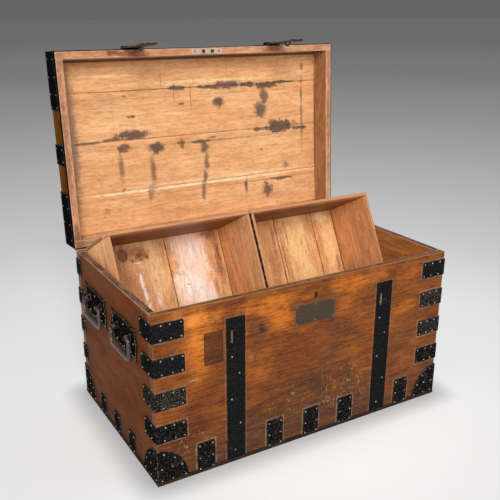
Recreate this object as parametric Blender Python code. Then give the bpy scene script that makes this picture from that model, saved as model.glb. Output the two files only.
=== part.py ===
"""Iron-bound silver chest: a boarded carcase with a hinged lid, two hasps, a box lock, four drop handles
and two loose pine trays.

Metres, +Z up, +X along the width, the front faces -Y. The origin is the centre of the underside.
The chest stands open as it is shown: lid back past the vertical, trays propped on the rear wall.
"""

import math

import bmesh
import bpy
from mathutils import Matrix, Vector

# Driving sizes of the whole chest
CHEST_WIDTH = 0.970
CHEST_DEPTH = 0.577
BODY_HEIGHT = 0.489
LID_HEIGHT = 0.086
LID_OPEN_DEG = 93.65

# Clearances
GAP = 0.0003
BOND = 0.0002
RUN = 0.0005
SEAM = 0.0006
OVERRUN = 0.004

# Boards
BOARD = 0.021
FLOOR_BOARD = 0.027
LID_BOARD = 0.016
ARRIS = 0.0012

# Lid boards: tongued boards of uneven widths along the chest, each with a bead by its front joint
LID_JOINT_SHARES = (0.246, 0.526, 0.789)
LID_BEAD = 0.025
LID_QUIRK = 0.0022

# Iron plates on the carcase
PLATE = 0.0025
CLIP = 0.004
CLIP_PROFILE_SHARE = 0.6
FOOT_FLANGE = 0.018
EDGE_COUNT = 4
EDGE_HEIGHT = 0.051
EDGE_BELOW_TOP = 0.023
EDGE_ABOVE_CAP = 0.0245
EDGE_FRONT_LEG = 0.086
EDGE_SIDE_LEG = 0.071
EDGE_REAR_SIDE_LEG = 0.038
CAP_RADII = (0.089, 0.093, 0.104)
CAP_SEGMENTS = 32
FOOT_PLATE_WIDTH = 0.053
FOOT_PLATE_HEIGHT = 0.092
FOOT_PLATE_INNER_SHARE = 0.5
FOOT_PLATE_OUTER_SHARE = 0.6
SIDE_FOOT_WIDTH = 0.044
SIDE_FOOT_HEIGHT = 0.068
SIDE_FOOT_PITCH = 0.1165
SIDE_FOOT_CENTRE = 0.0075

# Straps, front and rear, and their nails
STRAP_FROM_SIDE = 0.2343
STRAP_WIDTH = 0.056
STRAP = 0.003
STRAP_BELOW_TOP = 0.0525
NAIL_RADIUS = 0.0042
NAIL_RISE = 0.0022
NAIL_SIDES = 8
NAIL_EDGE_SHARE = 0.30
NAIL_ROWS_SHARES = ((-0.9, 0.745), (0.9, 0.635), (-0.75, 0.455), (0.9, 0.27), (0.0, 0.08))

# Hasps: a leaf with a staple that drops into a slot in the front strap
HASP_RISE = 0.0165
HASP_BARREL = 0.0055
HASP_PIN = 0.0025
HASP_KNUCKLE = 0.022
HASP_LEAF = 0.003
HASP_BELOW_SLOT = 0.008
HASP_LIFT_DEG = 2.5
SLOT_OFFSET = 0.015
SLOT_BELOW_TOP = 0.1054
SLOT_HEIGHT = 0.036
SLOT_WIDTH = 0.0065
STAPLE_LENGTH = 0.031
STAPLE_REACH = 0.014
STAPLE_BAR = 0.0036
KEY_OFFSET = 0.0085
KEY_BELOW_SLOT = 0.0101
KEY_RADIUS = 0.0026
KEY_DEPTH = 0.006
MORTISE_CLEARANCE = 0.003

# Box lock in the top of the front board, and the link plate in the lid
LOCK_X = 0.0
LOCK_WIDTH = 0.100
LOCK_HEIGHT = 0.064
LOCK_DEPTH = 0.0142
CASE_WALL = 0.0012
LINK_SPACING = 0.031
LINK_THICK = 0.003
LINK_WIDTH = 0.009
LINK_DROP = 0.0155
LINK_EYE = 0.0052
LINK_SLOT_CLEARANCE = 0.0013
LINK_PLATE_WIDTH = 0.110
LINK_PLATE_DEPTH = 0.017
LINK_PLATE = 0.0025
LOCK_BOLT_THICK = 0.0036
LOCK_BOLT_BAR = 0.008
LOCK_BOLT_FINGER = 0.0034
LOCK_BOLT_REACH = 0.012
LOCK_BOLT_CLEARANCE = 0.0009
KEYHOLE_X = 0.0049
KEYHOLE_BELOW_TOP = 0.043
KEYHOLE_WIDTH = 0.0052
KEYHOLE_LENGTH = 0.0125
ESCUTCHEON_WALL = 0.0016
ESCUTCHEON_PROUD = 0.0008

# Nameplate, left bare
NAMEPLATE_X = 0.0034
NAMEPLATE_BELOW_TOP = 0.0937
NAMEPLATE_WIDTH = 0.133
NAMEPLATE_HEIGHT = 0.059
NAMEPLATE = 0.0016
NAMEPLATE_PIN = 0.002
NAMEPLATE_PIN_RISE = 0.0008
NAMEPLATE_PIN_INSET = 0.0055

# Drop handles, two on each side
HANDLE_GAP_SHARES = (0.2489, 0.4433)
HANDLE_BELOW_TOP = 0.123
HANDLE_LENGTH = 0.180
HANDLE_HEIGHT = 0.097
HANDLE_PLATE = 0.003
HANDLE_RIM = 0.0022
HANDLE_RIM_WIDTH = 0.007
HANDLE_OUTLINE_SHARES = ((1.0, 0.0), (0.965, 0.42), (0.90, 0.70), (1.0, 1.0), (0.80, 0.88), (0.45, 0.93))
EYE_SPACING = 0.092
EYE_ABOVE = 0.012
EYE_OUT = 0.016
EYE_RADIUS = 0.0088
EYE_LENGTH = 0.011
BAIL_RADIUS = 0.0048
BAIL_GRIP_RADIUS = 0.0062
BAIL_DROP = 0.058
BAIL_SHOULDER = 0.0145
BAIL_BEND = 0.009
BAIL_INNER_END = 0.004
BAIL_RUN = 0.0006
BAIL_SIDES = 8
BORE_SIDES = 12
BEND_STEPS = 4

# Rear strap hinges
HINGE_BARREL = 0.0045
HINGE_PIN = 0.0023
HINGE_OFFSET = 0.0052
HINGE_KNUCKLE = 0.024
PIN_HEAD = 0.0014
ROUND_SIDES = 14

# Iron on the lid
EDGE_STRIP = 0.0015
EDGE_STRIP_HEIGHT = 0.010
STRIP_GAP = 0.0006
BRACKET_LEG = 0.165
BRACKET_ROOT = 0.062
LID_SIDE_STRAP_Y = 0.0089
LID_SIDE_STRAP_WIDTH = 0.061
LID_SIDE_STRAP_TOP = 0.064

# Trays: open pine boxes that stand on their lower edge
TRAY_END_CLEARANCE = 0.005
TRAY_DEPTH = 0.224
TRAY_LEAN_DEG = 63.0
TRAY_WALL = 0.010
TRAY_FLOOR = 0.008
TRAY_FLOOR_BOARDS = 4
TRAY_QUIRK = 0.0012
TRAY_SIDE_CLEARANCE = 0.003
TRAY_MIDDLE_GAP = 0.0065

# Places worked out from the sizes above
FRONT_Y = -CHEST_DEPTH / 2
REAR_Y = CHEST_DEPTH / 2
SIDE_X = CHEST_WIDTH / 2
STRAP_X = SIDE_X - STRAP_FROM_SIDE
WALL_FOOT = PLATE + GAP
INNER_X = SIDE_X - BOARD
INNER_Y = REAR_Y - BOARD
RIM_Z = BODY_HEIGHT + SEAM
LID_TOP = RIM_Z + LID_HEIGHT
RAIL_TOP = LID_TOP - LID_BOARD
IRON_FOOT = RIM_Z + EDGE_STRIP_HEIGHT + STRIP_GAP
HINGE_Y = REAR_Y + HINGE_OFFSET
HINGE_Z = BODY_HEIGHT + SEAM / 2
STRAP_TOP = BODY_HEIGHT - STRAP_BELOW_TOP
EDGE_FIRST = CAP_RADII[2] + EDGE_ABOVE_CAP
EDGE_PITCH = (BODY_HEIGHT - EDGE_BELOW_TOP - EDGE_HEIGHT - EDGE_FIRST) / (EDGE_COUNT - 1)
SLOT_Z = BODY_HEIGHT - SLOT_BELOW_TOP
KEY_Z = SLOT_Z - KEY_BELOW_SLOT
KEYHOLE_Z = BODY_HEIGHT - KEYHOLE_BELOW_TOP
NAMEPLATE_Z = BODY_HEIGHT - NAMEPLATE_BELOW_TOP
HANDLE_Z = BODY_HEIGHT - HANDLE_BELOW_TOP
HANDLE_START = FRONT_Y + EDGE_SIDE_LEG
HANDLE_SPARE = REAR_Y - EDGE_REAR_SIDE_LEG - HANDLE_START - 2 * HANDLE_LENGTH
HANDLE_FRONT_Y = HANDLE_START + HANDLE_GAP_SHARES[0] * HANDLE_SPARE + HANDLE_LENGTH / 2
HANDLE_REAR_Y = HANDLE_FRONT_Y + HANDLE_LENGTH + HANDLE_GAP_SHARES[1] * HANDLE_SPARE
HASP_Y = FRONT_Y - STRAP - GAP - HASP_BARREL / 2
HASP_Z = RIM_Z + HASP_RISE
HASP_BACK_Y = FRONT_Y - STRAP - 2 * GAP
HASP_FOOT_Z = SLOT_Z - SLOT_HEIGHT / 2 - HASP_BELOW_SLOT
TRAY_LENGTH = 2 * INNER_Y - TRAY_END_CLEARANCE
TRAY_FOOT_Z = FLOOR_BOARD + GAP
TRAY_FOOT_Y = INNER_Y - 2 * GAP - TRAY_LENGTH * math.cos(math.radians(TRAY_LEAN_DEG))
TRAY_WIDTH = INNER_X - TRAY_SIDE_CLEARANCE - TRAY_MIDDLE_GAP / 2
LEFT = -1
RIGHT = 1
SIDE_NAMES = {LEFT: "left", RIGHT: "right"}
END_NAMES = {-1: "front", 1: "rear"}


def clear_scene():
    """Remove every object that the scene already holds."""
    for old in list(bpy.data.objects):
        bpy.data.objects.remove(old, do_unlink=True)


def material(name, colour, roughness, metallic=0.0):
    """A plain Principled material."""
    made = bpy.data.materials.new(name)
    made.use_nodes = True
    shader = made.node_tree.nodes["Principled BSDF"]
    shader.inputs["Base Color"].default_value = (*colour, 1.0)
    shader.inputs["Roughness"].default_value = roughness
    shader.inputs["Metallic"].default_value = metallic
    made.diffuse_color = (*colour, 1.0)
    return made


def empty(name, location, tilt_x=0.0, parent=None):
    """An empty on a joint axis, turned about X."""
    made = bpy.data.objects.new(name, None)
    bpy.context.scene.collection.objects.link(made)
    made.parent = parent
    made.location = location
    made.rotation_euler = (tilt_x, 0.0, 0.0)
    return made


def place(name, shape, finish, parent=None, offset=(0.0, 0.0, 0.0), arris=0.0):
    """Turn a bmesh into a named object with its own material, smooth on its round faces."""
    mesh = bpy.data.meshes.new(name)
    shape.to_mesh(mesh)
    shape.free()
    own = finish.copy()
    own.name = name
    mesh.materials.append(own)
    made = bpy.data.objects.new(name, mesh)
    bpy.context.scene.collection.objects.link(made)
    made.parent = parent
    made.location = offset
    mesh.shade_smooth()
    mesh.set_sharp_from_angle(angle=math.radians(35.0))
    if arris > 0.0:
        soft = made.modifiers.new("arris", "BEVEL")
        soft.width = arris
        soft.segments = 1
        soft.limit_method = "ANGLE"
    return made


def box(low, high):
    """A closed box between two corners."""
    shape = bmesh.new()
    size = Vector(high) - Vector(low)
    middle = (Vector(high) + Vector(low)) / 2
    turn = Matrix.Translation(middle) @ Matrix.Diagonal((*size, 1.0))
    bmesh.ops.create_cube(shape, size=1.0, matrix=turn)
    return shape


def prism(outline, axis, start, end):
    """Extrude a closed outline along an axis; its points lie in the other two axes, in X, Y, Z order."""
    shape = bmesh.new()
    near = []
    for first, second in outline:
        spot = {"X": (start, first, second), "Y": (first, start, second), "Z": (first, second, start)}[axis]
        near.append(shape.verts.new(spot))
    face = shape.faces.new(near)
    moved = bmesh.ops.extrude_face_region(shape, geom=[face])
    step = {"X": (end - start, 0, 0), "Y": (0, end - start, 0), "Z": (0, 0, end - start)}[axis]
    far = [item for item in moved["geom"] if isinstance(item, bmesh.types.BMVert)]
    bmesh.ops.translate(shape, verts=far, vec=step)
    bmesh.ops.recalc_face_normals(shape, faces=shape.faces)
    return shape


def ring_points(centre, radius, sides=ROUND_SIDES):
    """The corners of a regular outline round a centre."""
    step = 2 * math.pi / sides
    return [
        (centre[0] + radius * math.cos((i + 0.5) * step), centre[1] + radius * math.sin((i + 0.5) * step))
        for i in range(sides)
    ]


def rod(centre, radius, axis, start, end, sides=ROUND_SIDES):
    """A round bar along an axis."""
    return prism(ring_points(centre, radius, sides), axis, start, end)


def combine(shape, tool, operation):
    """Apply an exact Boolean of two closed shapes and return the result."""
    pair = []
    for name, source in (("target", shape), ("tool", tool)):
        mesh = bpy.data.meshes.new(name)
        source.to_mesh(mesh)
        source.free()
        made = bpy.data.objects.new(name, mesh)
        bpy.context.scene.collection.objects.link(made)
        pair.append(made)
    change = pair[0].modifiers.new("change", "BOOLEAN")
    change.operation = operation
    change.solver = "EXACT"
    change.object = pair[1]
    ready = pair[0].evaluated_get(bpy.context.evaluated_depsgraph_get())
    result = bmesh.new()
    result.from_mesh(ready.to_mesh())
    ready.to_mesh_clear()
    for made in pair:
        mesh = made.data
        bpy.data.objects.remove(made, do_unlink=True)
        bpy.data.meshes.remove(mesh)
    bmesh.ops.dissolve_limit(result, angle_limit=math.radians(0.1), verts=result.verts, edges=result.edges)
    bmesh.ops.triangulate(result, faces=result.faces)
    return result


def cut(shape, tools):
    """Take several shapes out of one."""
    for tool in tools:
        shape = combine(shape, tool, "DIFFERENCE")
    return shape


def join(shape, tools):
    """Fuse several overlapping shapes into one."""
    for tool in tools:
        shape = combine(shape, tool, "UNION")
    return shape


def mirror_x(shape):
    """The same shape on the other side of the chest."""
    bmesh.ops.scale(shape, vec=(-1.0, 1.0, 1.0), verts=shape.verts)
    bmesh.ops.reverse_faces(shape, faces=shape.faces)
    return shape


def mirror_y(shape):
    """The same shape at the other end of the chest."""
    bmesh.ops.scale(shape, vec=(1.0, -1.0, 1.0), verts=shape.verts)
    bmesh.ops.reverse_faces(shape, faces=shape.faces)
    return shape


def to_corner(shape, side, end):
    """Move a shape made at the front left corner to another corner."""
    if side == RIGHT:
        shape = mirror_x(shape)
    if end == 1:
        shape = mirror_y(shape)
    return shape


def clipped(shape, keep, size):
    """Chamfer the short edges that the test picks out."""
    picked = [edge for edge in shape.edges if keep(edge)]
    bmesh.ops.bevel(shape, geom=picked, offset=size, segments=2, profile=CLIP_PROFILE_SHARE, affect="EDGES")
    return shape


def front_board(finish):
    """The front board, let in for the box lock, the two hasp locks and the keyhole."""
    shape = box((-SIDE_X, FRONT_Y, WALL_FOOT), (SIDE_X, FRONT_Y + BOARD, BODY_HEIGHT))
    back = FRONT_Y + (BOARD + LOCK_DEPTH) / 2
    pocket = box(
        (LOCK_X - LOCK_WIDTH / 2 - GAP, back - LOCK_DEPTH - GAP, BODY_HEIGHT - LOCK_HEIGHT - GAP),
        (LOCK_X + LOCK_WIDTH / 2 + GAP, back + GAP, BODY_HEIGHT + OVERRUN),
    )
    keyhole = prism(keyhole_outline(ESCUTCHEON_WALL + GAP), "Y", FRONT_Y - OVERRUN, back - LOCK_DEPTH / 2)
    tools = [pocket, keyhole]
    mortise_end = FRONT_Y + STAPLE_REACH - STRAP + MORTISE_CLEARANCE
    for side in (LEFT, RIGHT):
        middle = side * STRAP_X
        tools.append(slot_box(middle, FRONT_Y - OVERRUN, mortise_end))
        key_end = FRONT_Y + KEY_DEPTH
        tools.append(rod((middle + KEY_OFFSET, KEY_Z), KEY_RADIUS, "Y", FRONT_Y - OVERRUN, key_end))
    shape = cut(shape, tools)
    place("front_board", join(shape, foot_plates()), finish)


def keyhole_outline(grow=0.0):
    """A keyhole outline in X and Z: a round head over a straight slot."""
    radius = KEYHOLE_WIDTH / 2 + grow
    top = KEYHOLE_Z + KEYHOLE_LENGTH / 2 - KEYHOLE_WIDTH / 2
    foot = KEYHOLE_Z - KEYHOLE_LENGTH / 2 - grow
    points = []
    for i in range(ROUND_SIDES // 2 + 1):
        turn = math.pi * i / (ROUND_SIDES // 2)
        points.append((KEYHOLE_X + radius * math.cos(turn), top + radius * math.sin(turn)))
    return points + [(KEYHOLE_X - radius, foot), (KEYHOLE_X + radius, foot)]


def carcase(wood, side_wood, pine):
    """Front, rear and side boards with the floor between them."""
    front_board(wood)
    rear = box((-SIDE_X, FRONT_Y, WALL_FOOT), (SIDE_X, FRONT_Y + BOARD, BODY_HEIGHT))
    rear = join(rear, foot_plates())
    for side in (LEFT, RIGHT):
        plates = [edge_plate(level, EDGE_REAR_SIDE_LEG, BOND) for level in range(EDGE_COUNT)]
        rear = join(rear, [to_corner(plate, side, -1) for plate in plates])
    place("rear_board", mirror_y(rear), wood)
    for side in (LEFT, RIGHT):
        inner = side * INNER_X
        outer = side * SIDE_X
        low = (min(inner, outer), FRONT_Y + BOARD + GAP, WALL_FOOT)
        high = (max(inner, outer), REAR_Y - BOARD - GAP, BODY_HEIGHT)
        plates = [
            to_corner(side_foot_plate(SIDE_FOOT_CENTRE + i * SIDE_FOOT_PITCH), side, -1) for i in (-1, 0, 1)
        ]
        place(f"{SIDE_NAMES[side]}_board", join(box(low, high), plates), side_wood)
    floor = box((-INNER_X + GAP, -INNER_Y + GAP, 0.0), (INNER_X - GAP, INNER_Y - GAP, FLOOR_BOARD))
    place("bottom_board", floor, pine)


def edge_plate(level, side_leg=EDGE_SIDE_LEG, bond=-GAP):
    """One angle plate round the front left edge, its free corners clipped; a bond sinks it in its board."""
    foot = EDGE_FIRST + level * EDGE_PITCH
    out_x = -SIDE_X - GAP - PLATE
    out_y = FRONT_Y - GAP - PLATE
    in_x = -SIDE_X - GAP
    in_y = FRONT_Y + bond
    front_end = -SIDE_X + EDGE_FRONT_LEG
    side_end = FRONT_Y + side_leg
    outline = [
        (out_x, out_y),
        (front_end, out_y),
        (front_end, in_y),
        (in_x, in_y),
        (in_x, side_end),
        (out_x, side_end),
    ]
    shape = prism(outline, "Z", foot, foot + EDGE_HEIGHT)

    def free_corner(edge):
        middle = (edge.verts[0].co + edge.verts[1].co) / 2
        short = edge.calc_length() < PLATE + 2 * GAP
        return short and (middle.x > front_end - GAP or middle.y > side_end - GAP)

    return clipped(shape, free_corner, CLIP)


def edge_plates(iron):
    """Four separate plates up each front edge; those of the rear edges are one with the rear board."""
    for side in (LEFT, RIGHT):
        for level in range(EDGE_COUNT):
            name = f"front_{SIDE_NAMES[side]}_edge_plate_{level + 1}"
            place(name, to_corner(edge_plate(level), side, -1), iron)


def corner_cap():
    """A three-way cap on the front left bottom corner: a shell whose leaves end in a quarter round."""
    corner = Vector((-SIDE_X - GAP - PLATE, FRONT_Y - GAP - PLATE, 0.0))
    reach = Vector(CAP_RADII)
    block = box(corner, corner + reach + Vector((PLATE, PLATE, PLATE)))
    ball = bmesh.new()
    turn = Matrix.Translation(corner) @ Matrix.Diagonal((*(reach + Vector((PLATE,) * 3)), 1.0))
    bmesh.ops.create_uvsphere(
        ball, u_segments=CAP_SEGMENTS, v_segments=CAP_SEGMENTS, radius=1.0, matrix=turn
    )
    rounded = combine(block, ball, "INTERSECT")
    far = (SIDE_X, REAR_Y, BODY_HEIGHT)
    wood = box((-SIDE_X - GAP, FRONT_Y - GAP, WALL_FOOT - GAP), far)
    under = box((-SIDE_X + FOOT_FLANGE, FRONT_Y + FOOT_FLANGE, -OVERRUN), far)
    return cut(rounded, [wood, under])


def corner_caps(iron):
    """Caps on the four bottom corners."""
    for side in (LEFT, RIGHT):
        for end in (-1, 1):
            name = f"{END_NAMES[end]}_{SIDE_NAMES[side]}_corner_cap"
            place(name, to_corner(corner_cap(), side, end), iron)


def foot_plate(middle, width, height, thick=PLATE, bond=-GAP, clip=CLIP):
    """A plate on the front board that hooks under it, its top corners clipped."""
    out_y = FRONT_Y - GAP - thick
    in_y = FRONT_Y + bond
    flange_y = FRONT_Y + FOOT_FLANGE
    flange_top = WALL_FOOT + bond
    outline = [
        (out_y, 0.0),
        (flange_y, 0.0),
        (flange_y, flange_top),
        (in_y, flange_top),
        (in_y, height),
        (out_y, height),
    ]
    shape = prism(outline, "X", middle - width / 2, middle + width / 2)

    def top_corner(edge):
        centre = (edge.verts[0].co + edge.verts[1].co) / 2
        return edge.calc_length() < thick + 2 * GAP and centre.z > height - GAP

    return clipped(shape, top_corner, clip) if clip else shape


def between(start, end, share):
    """The middle of a foot plate that lies at a share of the free span from start to end."""
    low = start + FOOT_PLATE_WIDTH / 2
    high = end - FOOT_PLATE_WIDTH / 2
    return low + share * (high - low)


def foot_plates():
    """The hooked plates along the foot of the front board, sunk in it a little."""
    inner = between(FOOT_PLATE_WIDTH / 2, STRAP_X - STRAP_WIDTH / 2, FOOT_PLATE_INNER_SHARE)
    outer = between(STRAP_X + STRAP_WIDTH / 2, SIDE_X - CAP_RADII[0], FOOT_PLATE_OUTER_SHARE)
    places = (-outer, -inner, 0.0, inner, outer)
    return [foot_plate(middle, FOOT_PLATE_WIDTH, FOOT_PLATE_HEIGHT, PLATE, BOND) for middle in places]


def side_foot_plate(middle):
    """The same hooked plate on the left side board."""
    shape = foot_plate(0.0, SIDE_FOOT_WIDTH, SIDE_FOOT_HEIGHT, PLATE, BOND)
    bmesh.ops.translate(shape, verts=shape.verts, vec=(0.0, -FRONT_Y, 0.0))
    turn = Matrix.Rotation(-math.pi / 2, 4, "Z")
    bmesh.ops.transform(shape, matrix=turn, verts=shape.verts)
    bmesh.ops.translate(shape, verts=shape.verts, vec=(-SIDE_X, middle, 0.0))
    return shape


def slot_box(middle, depth_start, depth_end):
    """The hasp slot beside the middle of a strap, as a cutter."""
    centre = middle - SLOT_OFFSET
    return box(
        (centre - SLOT_WIDTH / 2, depth_start, SLOT_Z - SLOT_HEIGHT / 2),
        (centre + SLOT_WIDTH / 2, depth_end, SLOT_Z + SLOT_HEIGHT / 2),
    )


def front_straps(iron):
    """Front straps with their slots, key holes and nail heads."""
    for side in (LEFT, RIGHT):
        middle = side * STRAP_X
        shape = foot_plate(middle, STRAP_WIDTH, STRAP_TOP, STRAP)
        shape = join(shape, strap_nails(middle))
        slot = slot_box(middle, FRONT_Y - STRAP - OVERRUN, FRONT_Y + OVERRUN)
        key = rod((middle + KEY_OFFSET, KEY_Z), KEY_RADIUS, "Y", FRONT_Y - STRAP - OVERRUN, FRONT_Y + OVERRUN)
        place(f"{SIDE_NAMES[side]}_front_strap", cut(shape, [slot, key]), iron)


def strap_nails(middle):
    """The nail heads of one front strap."""
    heads = []
    for across_share, up_share in NAIL_ROWS_SHARES:
        place_x = middle + across_share * NAIL_EDGE_SHARE * STRAP_WIDTH
        heads.append(nail_head(place_x, up_share * STRAP_TOP, FRONT_Y - STRAP))
    return heads


def nail_head(place_x, place_z, seat_y):
    """A domed nail head that faces the front."""
    shape = bmesh.new()
    turn = Matrix.Translation((place_x, seat_y - NAIL_RISE / 2, place_z)) @ Matrix.Rotation(math.pi / 2, 4, "X")
    bmesh.ops.create_cone(
        shape,
        cap_ends=True,
        segments=NAIL_SIDES,
        radius1=NAIL_RADIUS,
        radius2=NAIL_RADIUS / 2,
        depth=NAIL_RISE,
        matrix=turn,
    )
    return shape


def nameplate(bronze):
    """The bare plate on the front board with its pins."""
    seat = FRONT_Y - GAP
    low = (NAMEPLATE_X - NAMEPLATE_WIDTH / 2, seat - NAMEPLATE, NAMEPLATE_Z - NAMEPLATE_HEIGHT / 2)
    high = (NAMEPLATE_X + NAMEPLATE_WIDTH / 2, seat, NAMEPLATE_Z + NAMEPLATE_HEIGHT / 2)
    shape = box(low, high)
    across = NAMEPLATE_WIDTH / 2 - NAMEPLATE_PIN_INSET
    up = NAMEPLATE_HEIGHT / 2 - NAMEPLATE_PIN_INSET
    face = seat - NAMEPLATE
    pins = []
    for i in (-1, 0, 1):
        for j in (-1, 1):
            centre = (NAMEPLATE_X + i * across, NAMEPLATE_Z + j * up)
            pins.append(rod(centre, NAMEPLATE_PIN, "Y", face - NAMEPLATE_PIN_RISE, face + NAMEPLATE / 2, NAIL_SIDES))
    place("nameplate", join(shape, pins), bronze)


def lock_slot(middle):
    """A slot in the top of the box lock for one link, as a cutter."""
    half = LINK_THICK / 2 + LINK_SLOT_CLEARANCE
    depth = FRONT_Y + BOARD / 2
    return box(
        (middle - half, depth - LINK_WIDTH / 2 - LINK_SLOT_CLEARANCE, BODY_HEIGHT - OVERRUN),
        (middle + half, depth + LINK_WIDTH / 2 + LINK_SLOT_CLEARANCE, BODY_HEIGHT + OVERRUN),
    )


def link_places():
    """X of the two links."""
    return (LOCK_X - LINK_SPACING / 2, LOCK_X + LINK_SPACING / 2)


def box_lock(steel):
    """The lock case in the front board, its bolt and the keyhole liner."""
    centre_y = FRONT_Y + BOARD / 2
    low = Vector((LOCK_X - LOCK_WIDTH / 2, centre_y - LOCK_DEPTH / 2, BODY_HEIGHT - LOCK_HEIGHT))
    high = Vector((LOCK_X + LOCK_WIDTH / 2, centre_y + LOCK_DEPTH / 2, BODY_HEIGHT))
    wall = Vector((CASE_WALL, CASE_WALL, CASE_WALL))
    tools = [box(low + wall, high - wall)]
    tools.extend(lock_slot(middle) for middle in link_places())
    tools.append(prism(keyhole_outline(), "Y", low.y - OVERRUN, centre_y))
    place("lock_case", cut(box(low, high), tools), steel)
    place("lock_bolt", lock_bolt(centre_y), steel)

    outer = prism(keyhole_outline(ESCUTCHEON_WALL), "Y", FRONT_Y - ESCUTCHEON_PROUD, low.y - GAP)
    liner = cut(outer, [prism(keyhole_outline(), "Y", FRONT_Y - OVERRUN, centre_y)])
    place("keyhole_escutcheon", liner, steel)


def lock_bolt(centre_y):
    """A bar with two hooked fingers, each short of its link, on a leg to the case floor."""
    eye_z = RIM_Z - LINK_DROP + LINK_EYE
    finger_low = eye_z - LOCK_BOLT_FINGER / 2
    finger_high = eye_z + LOCK_BOLT_FINGER / 2
    bar_top = BODY_HEIGHT - LINK_DROP - 2 * GAP - LOCK_BOLT_FINGER
    bar_foot = bar_top - LOCK_BOLT_BAR
    case_floor = BODY_HEIGHT - LOCK_HEIGHT + CASE_WALL + GAP
    first, second = (place_x - LINK_THICK / 2 - LOCK_BOLT_CLEARANCE for place_x in link_places())
    stem = LOCK_BOLT_REACH / 2
    leg = (first + second) / 2
    outline = [
        (first - LOCK_BOLT_REACH, bar_foot),
        (leg - stem, bar_foot),
        (leg - stem, case_floor),
        (leg + stem, case_floor),
        (leg + stem, bar_foot),
        (second, bar_foot),
        (second, bar_top),
        (second - stem, bar_top),
        (second - stem, finger_low),
        (second, finger_low),
        (second, finger_high),
        (second - LOCK_BOLT_REACH, finger_high),
        (second - LOCK_BOLT_REACH, bar_top),
        (first - stem, bar_top),
        (first - stem, finger_low),
        (first, finger_low),
        (first, finger_high),
        (first - LOCK_BOLT_REACH, finger_high),
    ]
    return prism(outline, "Y", centre_y - LOCK_BOLT_THICK / 2, centre_y + LOCK_BOLT_THICK / 2)


def handle_outline(inset=0.0):
    """The cusped outline of a handle plate, along the side and up."""
    half_length = HANDLE_LENGTH / 2 - inset
    half_height = HANDLE_HEIGHT / 2 - inset
    quarter = [(u * half_length, v * half_height) for u, v in HANDLE_OUTLINE_SHARES]
    points = list(quarter)
    points.append((0.0, half_height))
    points.extend((-u, v) for u, v in reversed(quarter))
    points.extend((-u, -v) for u, v in quarter[1:])
    points.append((0.0, -half_height))
    points.extend((u, -v) for u, v in reversed(quarter[1:]))
    return points


def handle_plate():
    """A plate with a raised rim and two eyes, at the origin of the bail axis, facing -X."""
    seat = EYE_OUT - GAP
    middle_z = -EYE_ABOVE
    outline = [(u, v + middle_z) for u, v in handle_outline()]
    recess = [(u, v + middle_z) for u, v in handle_outline(HANDLE_RIM_WIDTH)]
    face = seat - HANDLE_PLATE
    plate = prism(outline, "X", seat, face - HANDLE_RIM)
    plate = cut(plate, [prism(recess, "X", face, face - OVERRUN)])
    lugs = []
    for i in (-1, 1):
        middle = i * EYE_SPACING / 2
        block = [
            (EYE_RADIUS * math.cos(turn), EYE_RADIUS * math.sin(turn))
            for turn in (math.pi / 2 + math.pi * k / (ROUND_SIDES // 2) for k in range(ROUND_SIDES // 2 + 1))
        ]
        foot = face + HANDLE_PLATE / 2
        block.extend([(foot, -EYE_RADIUS), (foot, EYE_RADIUS)])
        lugs.append(prism(block, "Y", middle - EYE_LENGTH / 2, middle + EYE_LENGTH / 2))
    bore = rod((0.0, 0.0), BAIL_RADIUS + BAIL_RUN, "Y", -HANDLE_LENGTH / 2, HANDLE_LENGTH / 2, BORE_SIDES)
    return cut(join(plate, lugs), [bore])


def bail_path():
    """Centre line of a bail, along the side and up, with its radius at each point."""
    half = EYE_SPACING / 2 + EYE_LENGTH / 2 + BAIL_SHOULDER
    inner = EYE_SPACING / 2 - EYE_LENGTH / 2 - BAIL_INNER_END
    points = [(inner, 0.0)]
    for i in range(BEND_STEPS + 1):
        turn = math.pi / 2 * (1 - i / BEND_STEPS)
        points.append((half - BAIL_BEND + BAIL_BEND * math.cos(turn), BAIL_BEND * math.sin(turn) - BAIL_BEND))
    for i in range(BEND_STEPS + 1):
        turn = -math.pi / 2 * i / BEND_STEPS
        points.append(
            (half - BAIL_BEND + BAIL_BEND * math.cos(turn), BAIL_BEND * (1 + math.sin(turn)) - BAIL_DROP)
        )
    right = [(u, v, BAIL_RADIUS) for u, v in points]
    right.append((half / 2, -BAIL_DROP, (BAIL_RADIUS + BAIL_GRIP_RADIUS) / 2))
    right.append((half / 4, -BAIL_DROP, BAIL_GRIP_RADIUS))
    left = [(-u, v, radius) for u, v, radius in reversed(right)]
    return right + left


def bail():
    """A drop handle swept along its centre line, its axis through the origin along Y."""
    path = bail_path()
    shape = bmesh.new()
    rings = []
    for i, (u, v, radius) in enumerate(path):
        before = path[max(i - 1, 0)]
        after = path[min(i + 1, len(path) - 1)]
        run = Vector((0.0, after[0] - before[0], after[1] - before[1])).normalized()
        side = run.cross(Vector((1.0, 0.0, 0.0)))
        ring = []
        for k in range(BAIL_SIDES):
            turn = 2 * math.pi * (k + 0.5) / BAIL_SIDES
            spot = Vector((radius * math.cos(turn), u, v)) + side * (radius * math.sin(turn))
            ring.append(shape.verts.new(spot))
        rings.append(ring)
    for near, far in zip(rings, rings[1:]):
        for k in range(BAIL_SIDES):
            shape.faces.new((near[k], near[(k + 1) % BAIL_SIDES], far[(k + 1) % BAIL_SIDES], far[k]))
    shape.faces.new(rings[0])
    shape.faces.new(rings[-1])
    bmesh.ops.recalc_face_normals(shape, faces=shape.faces)
    return shape


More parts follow.
